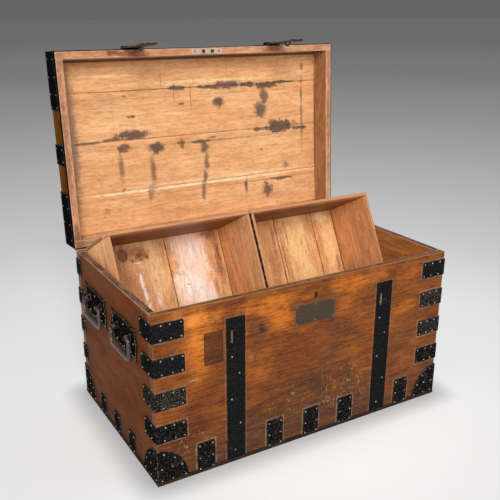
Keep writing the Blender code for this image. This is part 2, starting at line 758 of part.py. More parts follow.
def handles(iron):
    """Two drop handles on each side board."""
    for side in (LEFT, RIGHT):
        for end, place_y in ((-1, HANDLE_FRONT_Y), (1, HANDLE_REAR_Y)):
            spot = (side * (SIDE_X + EYE_OUT), place_y, HANDLE_Z + EYE_ABOVE)
            name = f"{SIDE_NAMES[side]}_{END_NAMES[end]}"
            place(f"{name}_handle_plate", to_corner(handle_plate(), side, -1), iron, offset=spot)
            place(f"{name}_bail", to_corner(bail(), side, -1), iron, offset=spot)


def knuckles(spans, axis_y, axis_z, radius):
    """Barrels round a hinge axis, over the given spans of X."""
    return [rod((axis_y, axis_z), radius, "X", start, end) for start, end in spans]


def outer_spans(middle, knuckle):
    """The two outer spans of a three-barrel hinge."""
    half = STRAP_WIDTH / 2
    inner = knuckle / 2 + RUN
    return [(middle - half, middle - inner), (middle + inner, middle + half)]


def side_notches(middle, knuckle, span_y, axis_z, barrel, up=1):
    """Cutters that clear the outer barrels either side of a middle knuckle."""
    half = STRAP_WIDTH / 2
    ends = sorted((axis_z - up * OVERRUN, axis_z + up * (barrel + RUN)))
    return [
        box((middle - half - OVERRUN, span_y[0], ends[0]), (middle - knuckle, span_y[1], ends[1])),
        box((middle + knuckle, span_y[0], ends[0]), (middle + half + OVERRUN, span_y[1], ends[1])),
    ]


def rear_straps(iron, steel):
    """Rear straps that carry the outer barrels, and the hinge pins through them."""
    for side in (LEFT, RIGHT):
        middle = side * STRAP_X
        shape = to_corner(foot_plate(middle, STRAP_WIDTH, HINGE_Z, STRAP, clip=0.0), LEFT, 1)
        room = HINGE_KNUCKLE / 2 + RUN
        notch = box(
            (middle - room, REAR_Y - OVERRUN, HINGE_Z - HINGE_BARREL - RUN),
            (middle + room, HINGE_Y + OVERRUN, HINGE_Z + OVERRUN),
        )
        shape = cut(shape, [notch])
        shape = join(shape, knuckles(outer_spans(middle, HINGE_KNUCKLE), HINGE_Y, HINGE_Z, HINGE_BARREL))
        bore = rod((HINGE_Y, HINGE_Z), HINGE_PIN + GAP, "X", middle - STRAP_WIDTH, middle + STRAP_WIDTH)
        place(f"{SIDE_NAMES[side]}_rear_strap", cut(shape, [bore]), iron)
        pin = headed_pin(middle, HINGE_Y, HINGE_Z, HINGE_PIN, HINGE_BARREL)
        place(f"{SIDE_NAMES[side]}_hinge_pin", pin, steel)


def headed_pin(middle, axis_y, axis_z, radius, barrel):
    """A pin through a hinge with a flat head at each end."""
    half = STRAP_WIDTH / 2 + GAP
    shank = rod((axis_y, axis_z), radius, "X", middle - half - PIN_HEAD / 2, middle + half + PIN_HEAD / 2)
    head = (radius + barrel) / 2
    heads = [
        rod((axis_y, axis_z), head, "X", middle - half - PIN_HEAD, middle - half),
        rod((axis_y, axis_z), head, "X", middle + half, middle + half + PIN_HEAD),
    ]
    return join(shank, heads)


def lid_rails(wood, pine, axis, offset):
    """The four rails of the lid, the front one let in for the link plate."""
    front = box((-SIDE_X, FRONT_Y, RIM_Z), (SIDE_X, FRONT_Y + BOARD, RAIL_TOP - GAP))
    depth = FRONT_Y + BOARD / 2
    recess = box(
        (LOCK_X - LINK_PLATE_WIDTH / 2 - GAP, depth - LINK_PLATE_DEPTH / 2 - GAP, RIM_Z - OVERRUN),
        (LOCK_X + LINK_PLATE_WIDTH / 2 + GAP, depth + LINK_PLATE_DEPTH / 2 + GAP, RIM_Z + LINK_PLATE + GAP),
    )
    place("lid_front_rail", cut(front, [recess]), wood, axis, offset)
    rear = box((-SIDE_X, REAR_Y - BOARD, RIM_Z), (SIDE_X, REAR_Y, RAIL_TOP - GAP))
    place("lid_rear_rail", rear, pine, axis, offset, ARRIS)
    for side in (LEFT, RIGHT):
        inner = side * INNER_X
        outer = side * SIDE_X
        low = (min(inner, outer), FRONT_Y + BOARD + GAP, RIM_Z)
        high = (max(inner, outer), REAR_Y - BOARD - GAP, RAIL_TOP - GAP)
        place(f"lid_{SIDE_NAMES[side]}_rail", box(low, high), wood, axis, offset, ARRIS)


def lid_boards(pine, axis, offset):
    """Beaded boards along the lid, glued in one panel: a groove at each joint and behind each bead."""
    under = RAIL_TOP
    outline = [(REAR_Y, under)]
    for share in LID_JOINT_SHARES:
        joint = REAR_Y - share * CHEST_DEPTH
        for groove in (joint + LID_BEAD, joint):
            outline.append((groove + LID_QUIRK, under))
            outline.append((groove, under + LID_QUIRK))
            outline.append((groove - LID_QUIRK, under))
    outline.extend([(FRONT_Y, under), (FRONT_Y, LID_TOP), (REAR_Y, LID_TOP)])
    place("lid_boards", prism(outline, "X", -SIDE_X, SIDE_X), pine, axis, offset)


def lid_bracket():
    """A three-way bracket on the front left top corner of the lid: two legs and a clipped top leaf."""
    out_x = -SIDE_X - GAP - PLATE
    out_y = FRONT_Y - GAP - PLATE
    outline = [
        (out_x, out_y),
        (-SIDE_X + BRACKET_LEG, out_y),
        (-SIDE_X + BRACKET_LEG, FRONT_Y + BRACKET_ROOT / 2),
        (-SIDE_X + BRACKET_ROOT, FRONT_Y + BRACKET_ROOT),
        (-SIDE_X + BRACKET_ROOT / 2, FRONT_Y + BRACKET_LEG),
        (out_x, FRONT_Y + BRACKET_LEG),
    ]
    block = prism(outline, "Z", IRON_FOOT, LID_TOP + GAP + PLATE)
    wood = box((-SIDE_X - GAP, FRONT_Y - GAP, RIM_Z - OVERRUN), (SIDE_X, REAR_Y, LID_TOP + GAP))
    return cut(block, [wood])


def lid_brackets(iron, axis, offset):
    """Brackets on the four corners of the lid."""
    for side in (LEFT, RIGHT):
        for end in (-1, 1):
            name = f"lid_{END_NAMES[end]}_{SIDE_NAMES[side]}_bracket"
            place(name, to_corner(lid_bracket(), side, end), iron, axis, offset)


def lid_strap(middle):
    """A strap over the lid: the rear hinge barrel at one end, the outer hasp barrels at the other."""
    front_foot = HASP_Z
    rear_foot = HINGE_Z
    half = STRAP_WIDTH / 2
    in_front = FRONT_Y - GAP
    in_rear = REAR_Y + GAP
    in_top = LID_TOP + GAP
    outline = [
        (in_front - STRAP, front_foot),
        (in_front, front_foot),
        (in_front, in_top),
        (in_rear, in_top),
        (in_rear, rear_foot),
        (in_rear + STRAP, rear_foot),
        (in_rear + STRAP, in_top + STRAP),
        (in_front - STRAP, in_top + STRAP),
    ]
    shape = prism(outline, "X", middle - half, middle + half)
    knuckle = HINGE_KNUCKLE / 2
    notches = side_notches(middle, knuckle, (REAR_Y, HINGE_Y + OVERRUN), HINGE_Z, HINGE_BARREL)
    notches.append(
        box(
            (middle - HASP_KNUCKLE / 2 - RUN, in_front - STRAP - OVERRUN, front_foot - OVERRUN),
            (middle + HASP_KNUCKLE / 2 + RUN, FRONT_Y, HASP_Z + HASP_BARREL + RUN),
        )
    )
    shape = cut(shape, notches)
    shape = join(shape, knuckles([(middle - knuckle, middle + knuckle)], HINGE_Y, HINGE_Z, HINGE_BARREL))
    shape = join(shape, knuckles(outer_spans(middle, HASP_KNUCKLE), HASP_Y, HASP_Z, HASP_BARREL))
    bores = [
        rod((HINGE_Y, HINGE_Z), HINGE_PIN + GAP, "X", middle - STRAP_WIDTH, middle + STRAP_WIDTH),
        rod((HASP_Y, HASP_Z), HASP_PIN + GAP, "X", middle - STRAP_WIDTH, middle + STRAP_WIDTH),
    ]
    return cut(shape, bores)


def lid_straps(iron, steel, axis, offset):
    """The two straps over the lid and the hasp pins."""
    for side in (LEFT, RIGHT):
        middle = side * STRAP_X
        place(f"{SIDE_NAMES[side]}_lid_strap", lid_strap(middle), iron, axis, offset)
        pin = headed_pin(middle, HASP_Y, HASP_Z, HASP_PIN, HASP_BARREL)
        place(f"{SIDE_NAMES[side]}_hasp_pin", pin, steel, axis, offset)


def lid_side_straps(iron, axis, offset):
    """A short angle strap over the middle of each end of the lid."""
    out_x = -SIDE_X - GAP - PLATE
    in_top = LID_TOP + GAP
    outline = [
        (out_x, IRON_FOOT),
        (-SIDE_X - GAP, IRON_FOOT),
        (-SIDE_X - GAP, in_top),
        (-SIDE_X + LID_SIDE_STRAP_TOP, in_top),
        (-SIDE_X + LID_SIDE_STRAP_TOP, in_top + PLATE),
        (out_x, in_top + PLATE),
    ]
    start = LID_SIDE_STRAP_Y - LID_SIDE_STRAP_WIDTH / 2
    for side in (LEFT, RIGHT):
        shape = prism(outline, "Y", start, start + LID_SIDE_STRAP_WIDTH)
        place(f"lid_{SIDE_NAMES[side]}_side_strap", to_corner(shape, side, -1), iron, axis, offset)


def lid_edge_strip(iron, axis, offset):
    """The thin iron strip round the foot of the lid, front and sides."""
    outer_x = SIDE_X + GAP + EDGE_STRIP
    outer_y = FRONT_Y - GAP - EDGE_STRIP
    outline = [
        (-outer_x, REAR_Y),
        (-outer_x, outer_y),
        (outer_x, outer_y),
        (outer_x, REAR_Y),
        (SIDE_X + GAP, REAR_Y),
        (SIDE_X + GAP, FRONT_Y - GAP),
        (-SIDE_X - GAP, FRONT_Y - GAP),
        (-SIDE_X - GAP, REAR_Y),
    ]
    place("lid_edge_strip", prism(outline, "Z", RIM_Z, RIM_Z + EDGE_STRIP_HEIGHT), iron, axis, offset)


def link_plate(steel, axis, offset):
    """The plate in the lid rim with two eyed links."""
    depth = FRONT_Y + BOARD / 2
    shape = box(
        (LOCK_X - LINK_PLATE_WIDTH / 2, depth - LINK_PLATE_DEPTH / 2, RIM_Z),
        (LOCK_X + LINK_PLATE_WIDTH / 2, depth + LINK_PLATE_DEPTH / 2, RIM_Z + LINK_PLATE),
    )
    links = []
    eyes = []
    eye_z = RIM_Z - LINK_DROP + LINK_EYE
    for middle in link_places():
        links.append(
            box(
                (middle - LINK_THICK / 2, depth - LINK_WIDTH / 2, RIM_Z - LINK_DROP),
                (middle + LINK_THICK / 2, depth + LINK_WIDTH / 2, RIM_Z + LINK_PLATE / 2),
            )
        )
        eyes.append(
            box(
                (middle - LINK_THICK, depth - LINK_EYE / 2, eye_z - LINK_EYE / 2),
                (middle + LINK_THICK, depth + LINK_EYE / 2, eye_z + LINK_EYE / 2),
            )
        )
    place("link_plate", cut(join(shape, links), eyes), steel, axis, offset)


def hasp(middle):
    """A hasp leaf in its shut place: barrel, leaf and the staple on its back."""
    half = STRAP_WIDTH / 2
    knuckle = HASP_KNUCKLE / 2
    foot = HASP_FOOT_Z
    face_y = HASP_BACK_Y - HASP_LEAF
    leaf = prism(
        [
            (middle - half, HASP_Z),
            (middle - half, foot + CLIP),
            (middle - half + CLIP, foot),
            (middle + half - CLIP, foot),
            (middle + half, foot + CLIP),
            (middle + half, HASP_Z),
        ],
        "Y",
        face_y,
        HASP_BACK_Y,
    )
    span_y = (face_y - OVERRUN, FRONT_Y)
    leaf = cut(leaf, side_notches(middle, knuckle, span_y, HASP_Z, HASP_BARREL, -1))
    barrel = rod((HASP_Y, HASP_Z), HASP_BARREL, "X", middle - knuckle, middle + knuckle)
    curl = rod((face_y, foot + HASP_LEAF / 2), HASP_LEAF, "X", middle - half + CLIP, middle + half - CLIP)
    shape = join(leaf, [barrel, curl, staple(middle)])
    bore = rod((HASP_Y, HASP_Z), HASP_PIN + GAP, "X", middle - half, middle + half)
    return cut(shape, [bore])


def staple(middle):
    """A half-round loop on the back of a hasp leaf, in the plane of the slot."""
    centre = middle - SLOT_OFFSET
    steps = ROUND_SIDES // 2
    start = HASP_BACK_Y - HASP_LEAF / 2
    outer = []
    inner = []
    for i in range(steps + 1):
        turn = math.pi * i / steps
        up = math.cos(turn)
        out = math.sin(turn)
        outer.append((HASP_BACK_Y + STAPLE_REACH * out, SLOT_Z + STAPLE_LENGTH / 2 * up))
        inner.append(
            (
                HASP_BACK_Y + (STAPLE_REACH - STAPLE_BAR) * out,
                SLOT_Z + (STAPLE_LENGTH / 2 - STAPLE_BAR) * up,
            )
        )
    outer[0] = (start, outer[0][1])
    outer[-1] = (start, outer[-1][1])
    inner[0] = (start, inner[0][1])
    inner[-1] = (start, inner[-1][1])
    return prism(outer + inner[::-1], "X", centre - STAPLE_BAR / 2, centre + STAPLE_BAR / 2)


def hasps(iron, lid_axis, lid_offset):
    """Both hasps, each on its own axis and lifted a little."""
    for side in (LEFT, RIGHT):
        name = SIDE_NAMES[side]
        spot = (0.0, HASP_Y + lid_offset[1], HASP_Z + lid_offset[2])
        axis = empty(f"{name}_hasp_axis", spot, -math.radians(HASP_LIFT_DEG), lid_axis)
        place(f"{name}_hasp", hasp(side * STRAP_X), iron, axis, (0.0, -HASP_Y, -HASP_Z))


def tray(side, pine):
    """An open pine tray: a floor of four boards under a frame of four walls, propped on its lower edge."""
    name = f"{SIDE_NAMES[side]}_tray"
    axis = empty(f"{name}_axis", (0.0, TRAY_FOOT_Y, TRAY_FOOT_Z), math.radians(TRAY_LEAN_DEG))
    inner = side * TRAY_MIDDLE_GAP / 2
    outer = side * (TRAY_MIDDLE_GAP / 2 + TRAY_WIDTH)
    low_x = min(inner, outer)
    high_x = max(inner, outer)
    pitch = TRAY_WIDTH / TRAY_FLOOR_BOARDS
    outline = [(low_x, 0.0), (high_x, 0.0), (high_x, TRAY_FLOOR)]
    for i in range(TRAY_FLOOR_BOARDS - 1, 0, -1):
        joint = low_x + i * pitch
        outline.append((joint + TRAY_QUIRK, TRAY_FLOOR))
        outline.append((joint, TRAY_FLOOR - TRAY_QUIRK))
        outline.append((joint - TRAY_QUIRK, TRAY_FLOOR))
    outline.append((low_x, TRAY_FLOOR))
    place(f"{name}_floor", prism(outline, "Y", 0.0, TRAY_LENGTH), pine, axis)
    foot = TRAY_FLOOR + GAP
    frame = box((low_x, 0.0, foot), (high_x, TRAY_LENGTH, TRAY_DEPTH))
    hollow = box(
        (low_x + TRAY_WALL, TRAY_WALL, foot - OVERRUN),
        (high_x - TRAY_WALL, TRAY_LENGTH - TRAY_WALL, TRAY_DEPTH + OVERRUN),
    )
    place(f"{name}_frame", cut(frame, [hollow]), pine, axis)


def build():
    """Build the whole chest."""
    clear_scene()
    wood = material("front_wood", (0.36, 0.13, 0.035), 0.45)
    side_wood = material("side_wood", (0.19, 0.06, 0.022), 0.5)
    pine = material("pine", (0.62, 0.33, 0.16), 0.6)
    iron = material("iron", (0.018, 0.018, 0.02), 0.5, 0.6)
    steel = material("steel", (0.38, 0.38, 0.39), 0.4, 0.9)
    bronze = material("bronze", (0.16, 0.13, 0.1), 0.45, 0.8)

    carcase(wood, side_wood, pine)
    edge_plates(iron)
    corner_caps(iron)
    front_straps(iron)
    nameplate(bronze)
    box_lock(steel)
    handles(iron)
    rear_straps(iron, steel)

    lid_axis = empty("lid_axis", (0.0, HINGE_Y, HINGE_Z), -math.radians(LID_OPEN_DEG))
    offset = (0.0, -HINGE_Y, -HINGE_Z)
    lid_rails(wood, pine, lid_axis, offset)
    lid_boards(pine, lid_axis, offset)
    lid_brackets(iron, lid_axis, offset)
    lid_straps(iron, steel, lid_axis, offset)
    lid_side_straps(iron, lid_axis, offset)
    lid_edge_strip(iron, lid_axis, offset)
    link_plate(steel, lid_axis, offset)
    hasps(iron, lid_axis, offset)

    for side in (LEFT, RIGHT):
        tray(side, pine)


build()
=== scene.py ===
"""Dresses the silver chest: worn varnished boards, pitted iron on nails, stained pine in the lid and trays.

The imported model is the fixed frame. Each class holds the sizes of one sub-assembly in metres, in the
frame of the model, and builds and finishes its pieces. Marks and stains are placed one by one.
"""

import logging
import math
import random
from collections.abc import Callable, Sequence
from dataclasses import dataclass, field, replace
from enum import Enum

import bmesh
import bpy
from mathutils import Matrix, Vector


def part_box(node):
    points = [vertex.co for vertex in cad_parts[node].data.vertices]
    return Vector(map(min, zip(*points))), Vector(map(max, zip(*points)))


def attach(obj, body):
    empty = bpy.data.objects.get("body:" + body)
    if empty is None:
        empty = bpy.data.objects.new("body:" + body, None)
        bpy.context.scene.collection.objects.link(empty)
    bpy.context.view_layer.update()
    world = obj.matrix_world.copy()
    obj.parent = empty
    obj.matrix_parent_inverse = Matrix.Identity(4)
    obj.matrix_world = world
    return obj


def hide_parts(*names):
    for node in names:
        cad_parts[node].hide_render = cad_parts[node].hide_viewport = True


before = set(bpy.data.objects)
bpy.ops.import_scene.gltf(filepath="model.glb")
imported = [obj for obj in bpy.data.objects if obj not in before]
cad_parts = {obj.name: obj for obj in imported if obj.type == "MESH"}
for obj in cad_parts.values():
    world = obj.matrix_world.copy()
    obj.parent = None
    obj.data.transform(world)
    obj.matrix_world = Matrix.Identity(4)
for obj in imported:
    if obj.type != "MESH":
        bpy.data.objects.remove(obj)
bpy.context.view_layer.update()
LOG = logging.getLogger("silver_chest")

Colour = tuple[float, float, float]
Triple = tuple[float, float, float]
Pair = tuple[float, float]
Socket = bpy.types.NodeSocket
NodeTree = bpy.types.NodeTree
Sockets = bpy.types.NodeInputs | bpy.types.NodeOutputs
Shape = bmesh.types.BMesh
Box = tuple[Triple, Triple]
Picker = Callable[[Vector, Vector], int]


class Side(Enum):
    """Left or right, as the sign of X."""

    LEFT = -1
    RIGHT = 1

    @property
    def word(self) -> str:
        """The side's name in piece names."""
        return self.name.lower()


class End(Enum):
    """Front or rear, as the sign of Y."""

    FRONT = -1
    REAR = 1

    @property
    def word(self) -> str:
        """The end's name in piece names."""
        return self.name.lower()


class Grain(Enum):
    """The axis along which the grain of a board runs, as the turn that brings it to X."""

    X = (0.0, 0.0, 0.0)
    Y = (0.0, 0.0, -math.pi / 2)
    Z = (0.0, math.pi / 2, 0.0)


class Slot(Enum):
    """The record's material slots."""

    FRONT_WOOD = "front_wood"
    SIDE_WOOD = "side_wood"
    PINE = "pine"
    IRON = "iron"
    STEEL = "steel"
    BRONZE = "bronze"


@dataclass(frozen=True)
class ChestSizes:
    """The driving sizes that the sub-assemblies share, as the model has them."""

    width: float = 0.970
    depth: float = 0.577
    height: float = 0.489
    board: float = 0.021
    floor_board: float = 0.027
    lid_height: float = 0.086
    lid_board: float = 0.016
    lid_open: float = 93.65
    gap: float = 0.0003
    seam: float = 0.0006
    plate: float = 0.0025
    strap: float = 0.003
    strap_x: float = 0.2507
    strap_width: float = 0.056
    hinge_offset: float = 0.0052
    wall_foot: float = 0.0006

    @property
    def side_x(self) -> float:
        """Half the width."""
        return self.width / 2

    @property
    def end_y(self) -> float:
        """Half the depth."""
        return self.depth / 2

    @property
    def rim_z(self) -> float:
        """The lid's rim, in the shut lid."""
        return self.height + self.seam

    @property
    def rail_top(self) -> float:
        """The top of the lid's rails, in the shut lid."""
        return self.rim_z + self.lid_height - self.lid_board


CHEST = ChestSizes()


@dataclass(frozen=True)
class Pose:
    """Where a sub-assembly's own drawing stands at rest: its origin, and its turn about X in degrees."""

    origin: Triple = (0.0, 0.0, 0.0)
    tilt: float = 0.0

    def matrix(self) -> Matrix:
        """The drawing's place in the frame of the model."""
        return Matrix.Translation(self.origin) @ Matrix.Rotation(math.radians(self.tilt), 4, "X")


HERE = Pose()
LID_POSE = Pose((0.0, CHEST.end_y + CHEST.hinge_offset, CHEST.height + CHEST.seam / 2), -CHEST.lid_open)


# Node graphs

COLOUR_A, COLOUR_B, MIXED_COLOUR = 6, 7, 2


class Graph:
    """Adds nodes to one tree and wires them."""

    def __init__(self, tree: NodeTree) -> None:
        """Take the tree to fill."""
        self.tree = tree

    def add(self, kind: str, feeds: dict | None = None, **settings: object) -> bpy.types.Node:
        """Add one node.

        Args:
            kind: The node's type name without the ShaderNode prefix, or a full one.
            feeds: Values or sockets by input name or index.
            settings: Properties of the node.

        Returns:
            The new node.
        """
        node = self.tree.nodes.new(kind if kind.startswith("Node") else f"ShaderNode{kind}")
        for label, value in settings.items():
            setattr(node, label, value)
        for label, value in (feeds or {}).items():
            self.feed(node.inputs[label], value)
        return node

    def feed(self, socket: Socket, value: object) -> None:
        """Wire a socket, or set a value on it.

        Args:
            socket: The input.
            value: An output to wire to it, a number, a vector or a colour.
        """
        if isinstance(value, bpy.types.NodeSocket):
            self.tree.links.new(value, socket)
        elif isinstance(value, (int, float)):
            socket.default_value = value
        else:
            opaque = socket.type == "RGBA" and len(value) == 3
            socket.default_value = (*value, 1.0) if opaque else tuple(value)

    def math(self, operation: str, *values: object) -> Socket:
        """A Math node's output."""
        return self.add("Math", dict(enumerate(values)), operation=operation).outputs[0]

    def times(self, first: object, second: object) -> Socket:
        """The product of two numbers."""
        return self.math("MULTIPLY", first, second)

    def vector(self, operation: str, *values: object) -> Socket:
        """A Vector Math node's vector output."""
        return self.add("VectorMath", dict(enumerate(values)), operation=operation).outputs["Vector"]

    def length(self, value: Socket) -> Socket:
        """The length of a vector."""
        return self.add("VectorMath", {0: value}, operation="LENGTH").outputs["Value"]

    def noise(
        self, vector: Socket, scale: object, detail: float = 2.0, rough: float = 0.5, bend: float = 0.0
    ) -> Socket:
        """A noise texture's factor."""
        feeds = {"Vector": vector, "Scale": scale, "Detail": detail, "Roughness": rough, "Distortion": bend}
        return self.add("TexNoise", feeds).outputs["Fac"]

    def jitter(self, vector: Socket, scale: float, detail: float, rough: float, middle: float) -> Socket:
        """A noise about zero."""
        return self.math("SUBTRACT", self.noise(vector, scale, detail, rough), middle)

    def remap(self, value: Socket, low: object, high: object, start: float = 0.0, end: float = 1.0) -> Socket:
        """A smooth step from low to high, given out from start to end."""
        feeds = {"Value": value, "From Min": low, "From Max": high, "To Min": start, "To Max": end}
        return self.add("MapRange", feeds, interpolation_type="SMOOTHSTEP").outputs["Result"]

    def mix(self, share: object, first: object, second: object, blend: str = "MIX") -> Socket:
        """Mix two colours."""
        feeds = {"Factor": share, COLOUR_A: first, COLOUR_B: second}
        return self.add("Mix", feeds, data_type="RGBA", blend_type=blend).outputs[MIXED_COLOUR]

    def effect(self, tree: NodeTree, **feeds: object) -> Sockets:
        """The outputs of a node group that is placed with its own values."""
        return self.add("Group", feeds, node_tree=tree).outputs


class Effects:
    """The shader node groups that several materials share, each built once."""

    def __init__(self) -> None:
        """Build every group."""
        self.figure = self._figure()
        self.blot = self._blot()
        self.patch = self._patch()
        self.edges = self._edges()
        self.scratches = self._scratches()
        self.pits = self._pits()

    @staticmethod
    def _start(
        name: str, vectors: Sequence[str], numbers: Sequence[str], outputs: Sequence[str]
    ) -> tuple[Graph, Sockets, Sockets]:
        """Make an empty group.

        Args:
            name: The group's name.
            vectors: The names of its vector inputs.
            numbers: The names of its number inputs.
            outputs: The names of its outputs, all numbers.

        Returns:
            The graph, what is given to it, and what it gives out.
        """
        tree = bpy.data.node_groups.new(name, "ShaderNodeTree")
        for label in vectors:
            tree.interface.new_socket(label, in_out="INPUT", socket_type="NodeSocketVector")
        for label in numbers:
            tree.interface.new_socket(label, in_out="INPUT", socket_type="NodeSocketFloat")
        for label in outputs:
            tree.interface.new_socket(label, in_out="OUTPUT", socket_type="NodeSocketFloat")
        graph = Graph(tree)
        return graph, graph.add("NodeGroupInput").outputs, graph.add("NodeGroupOutput").inputs

    def _figure(self) -> NodeTree:
        """Wood figure along X: growth lines, fibres, short dark flecks and a cloudy mottle.

        Returns:
            The group.
        """
        outputs = ["Rings", "Fibre", "Flecks", "Mottle"]
        graph, given, out = self._start("wood_figure", ["Vector"], ["Rings"], outputs)
        stretches = ((0.7, 7.0, 7.0), (14.0, 150.0, 150.0), (48.0, 210.0, 210.0), (15.0, 34.0, 34.0))
        broad, fine, short, soft = (graph.vector("MULTIPLY", given["Vector"], by) for by in stretches)
        wave = graph.math("SINE", graph.times(graph.noise(broad, 1.0, 2.0, 0.5, 0.25), given["Rings"]))
        graph.feed(out["Rings"], graph.remap(wave, 0.1, 0.98))
        graph.feed(out["Fibre"], graph.noise(fine, 1.0, 4.0, 0.72))
        graph.feed(out["Flecks"], graph.remap(graph.noise(short, 1.0, 3.0, 0.68), 0.5, 0.64))
        graph.feed(out["Mottle"], graph.remap(graph.noise(soft, 1.0, 7.0, 0.7, 0.3), 0.4, 0.62))
        return graph.tree

    def _blot(self) -> NodeTree:
        """A ragged oval stain.

        Returns:
            The group.
        """
        numbers = ["Soft", "Ragged", "Rough"]
        graph, given, out = self._start("blot", ["Vector", "Centre", "Size"], numbers, ["Mask"])
        away = graph.vector("SUBTRACT", given["Vector"], given["Centre"])
        reach = graph.length(graph.vector("DIVIDE", away, given["Size"]))
        shift = graph.times(graph.math("SUBTRACT", given["Rough"], 0.5), given["Ragged"])
        bent = graph.math("ADD", reach, graph.times(shift, 3.0))
        graph.feed(out["Mask"], graph.remap(bent, 1.0, graph.math("SUBTRACT", 1.0, given["Soft"])))
        return graph.tree

    def _patch(self) -> NodeTree:
        """A square patch, and the line round it.

        Returns:
            The group.
        """
        vectors = ["Vector", "Centre", "Half"]
        graph, given, out = self._start("let_in_patch", vectors, ["Line"], ["Inside", "Border"])
        away = graph.vector("SUBTRACT", given["Vector"], given["Centre"])
        over = graph.vector("SUBTRACT", graph.vector("ABSOLUTE", away), given["Half"])
        x, y, z = graph.add("SeparateXYZ", {0: over}).outputs
        most = graph.math("MAXIMUM", x, graph.math("MAXIMUM", y, z))
        shift = graph.jitter(given["Vector"], 60.0, 2.0, 0.55, 0.5)
        bent = graph.math("ADD", most, graph.times(shift, 0.004))
        graph.feed(out["Inside"], graph.remap(bent, 0.0008, -0.0008))
        graph.feed(out["Border"], graph.remap(graph.math("ABSOLUTE", bent), given["Line"], 0.0))
        return graph.tree

    def _edges(self) -> NodeTree:
        """Wear along the edges of a box-shaped board: the middle one of the three distances to its faces.

        Returns:
            The group.
        """
        graph, given, out = self._start("edge_wear", ["Vector", "Low", "High"], ["Reach", "Ragged"], ["Mask"])
        up = graph.vector("SUBTRACT", given["Vector"], given["Low"])
        down = graph.vector("SUBTRACT", given["High"], given["Vector"])
        x, y, z = graph.add("SeparateXYZ", {0: graph.vector("MINIMUM", up, down)}).outputs
        total = graph.math("ADD", graph.math("ADD", x, y), z)
        least = graph.math("MINIMUM", x, graph.math("MINIMUM", y, z))
        most = graph.math("MAXIMUM", x, graph.math("MAXIMUM", y, z))
        middle = graph.math("SUBTRACT", graph.math("SUBTRACT", total, least), most)
        jitter = graph.jitter(given["Vector"], 38.0, 5.0, 0.65, 0.42)
        shift = graph.times(jitter, graph.times(given["Ragged"], given["Reach"]))
        bent = graph.math("SUBTRACT", middle, graph.times(shift, 2.0))
        graph.feed(out["Mask"], graph.remap(bent, given["Reach"], 0.0))
        return graph.tree

    def _scratches(self) -> NodeTree:
        """Short curved scratches: thin contour lines of a noise, broken up by another.

        Returns:
            The group.
        """
        graph, given, out = self._start("scratches", ["Vector"], ["Scale", "Share"], ["Mask"])
        drawn = graph.vector("MULTIPLY", given["Vector"], (1.25, 1.0, 0.42))
        line = graph.math("SUBTRACT", graph.noise(drawn, given["Scale"], 1.0), 0.5)
        thin = graph.remap(graph.math("ABSOLUTE", line), 0.013, 0.004)
        broken = graph.noise(given["Vector"], graph.times(given["Scale"], 2.6), 3.0)
        floor = graph.math("SUBTRACT", 1.0, given["Share"])
        keep = graph.remap(broken, floor, graph.math("ADD", floor, 0.08))
        graph.feed(out["Mask"], graph.times(thin, keep))
        return graph.tree

    def _pits(self) -> NodeTree:
        """Pitted old iron: a height, pale specks that are partly painted glints, and patches of dust and
        rust.

        Returns:
            The group.
        """
        graph, given, out = self._start("iron_pits", ["Vector"], ["Worn"], ["Height", "Specks", "Patches"])
        where = given["Vector"]
        cells = graph.add("TexVoronoi", {"Vector": where, "Scale": 190.0}).outputs["Distance"]
        hollow = graph.times(graph.remap(cells, 0.05, 0.42), 0.7)
        graph.feed(out["Height"], graph.math("ADD", graph.noise(where, 120.0, 4.0, 0.75), hollow))
        level = graph.math("SUBTRACT", 0.655, graph.times(given["Worn"], 0.15))
        specks = graph.remap(graph.noise(where, 240.0, 3.0, 0.6), level, graph.math("ADD", level, 0.06))
        graph.feed(out["Specks"], specks)
        bar = graph.math("SUBTRACT", 0.66, graph.times(given["Worn"], 0.2))
        patches = graph.remap(graph.noise(where, 30.0, 5.0, 0.65), bar, graph.math("ADD", bar, 0.16))
        graph.feed(out["Patches"], patches)
        return graph.tree


EFFECTS = Effects()


# Finishes


class MarkKind(Enum):
    """What a mark is: an oval blot, a let-in patch, a dusty line, scratches or a square shade."""

    BLOT = "blot"
    PATCH = "patch"
    FRAME = "frame"
    SCRATCHES = "scratches"
    BAND = "band"

    @property
    def on_top(self) -> bool:
        """Whether the mark lies over the grain."""
        return self in (MarkKind.FRAME, MarkKind.SCRATCHES, MarkKind.BAND)

    @property
    def square(self) -> bool:
        """Whether the mark has a square outline."""
        return self in (MarkKind.PATCH, MarkKind.FRAME, MarkKind.BAND)


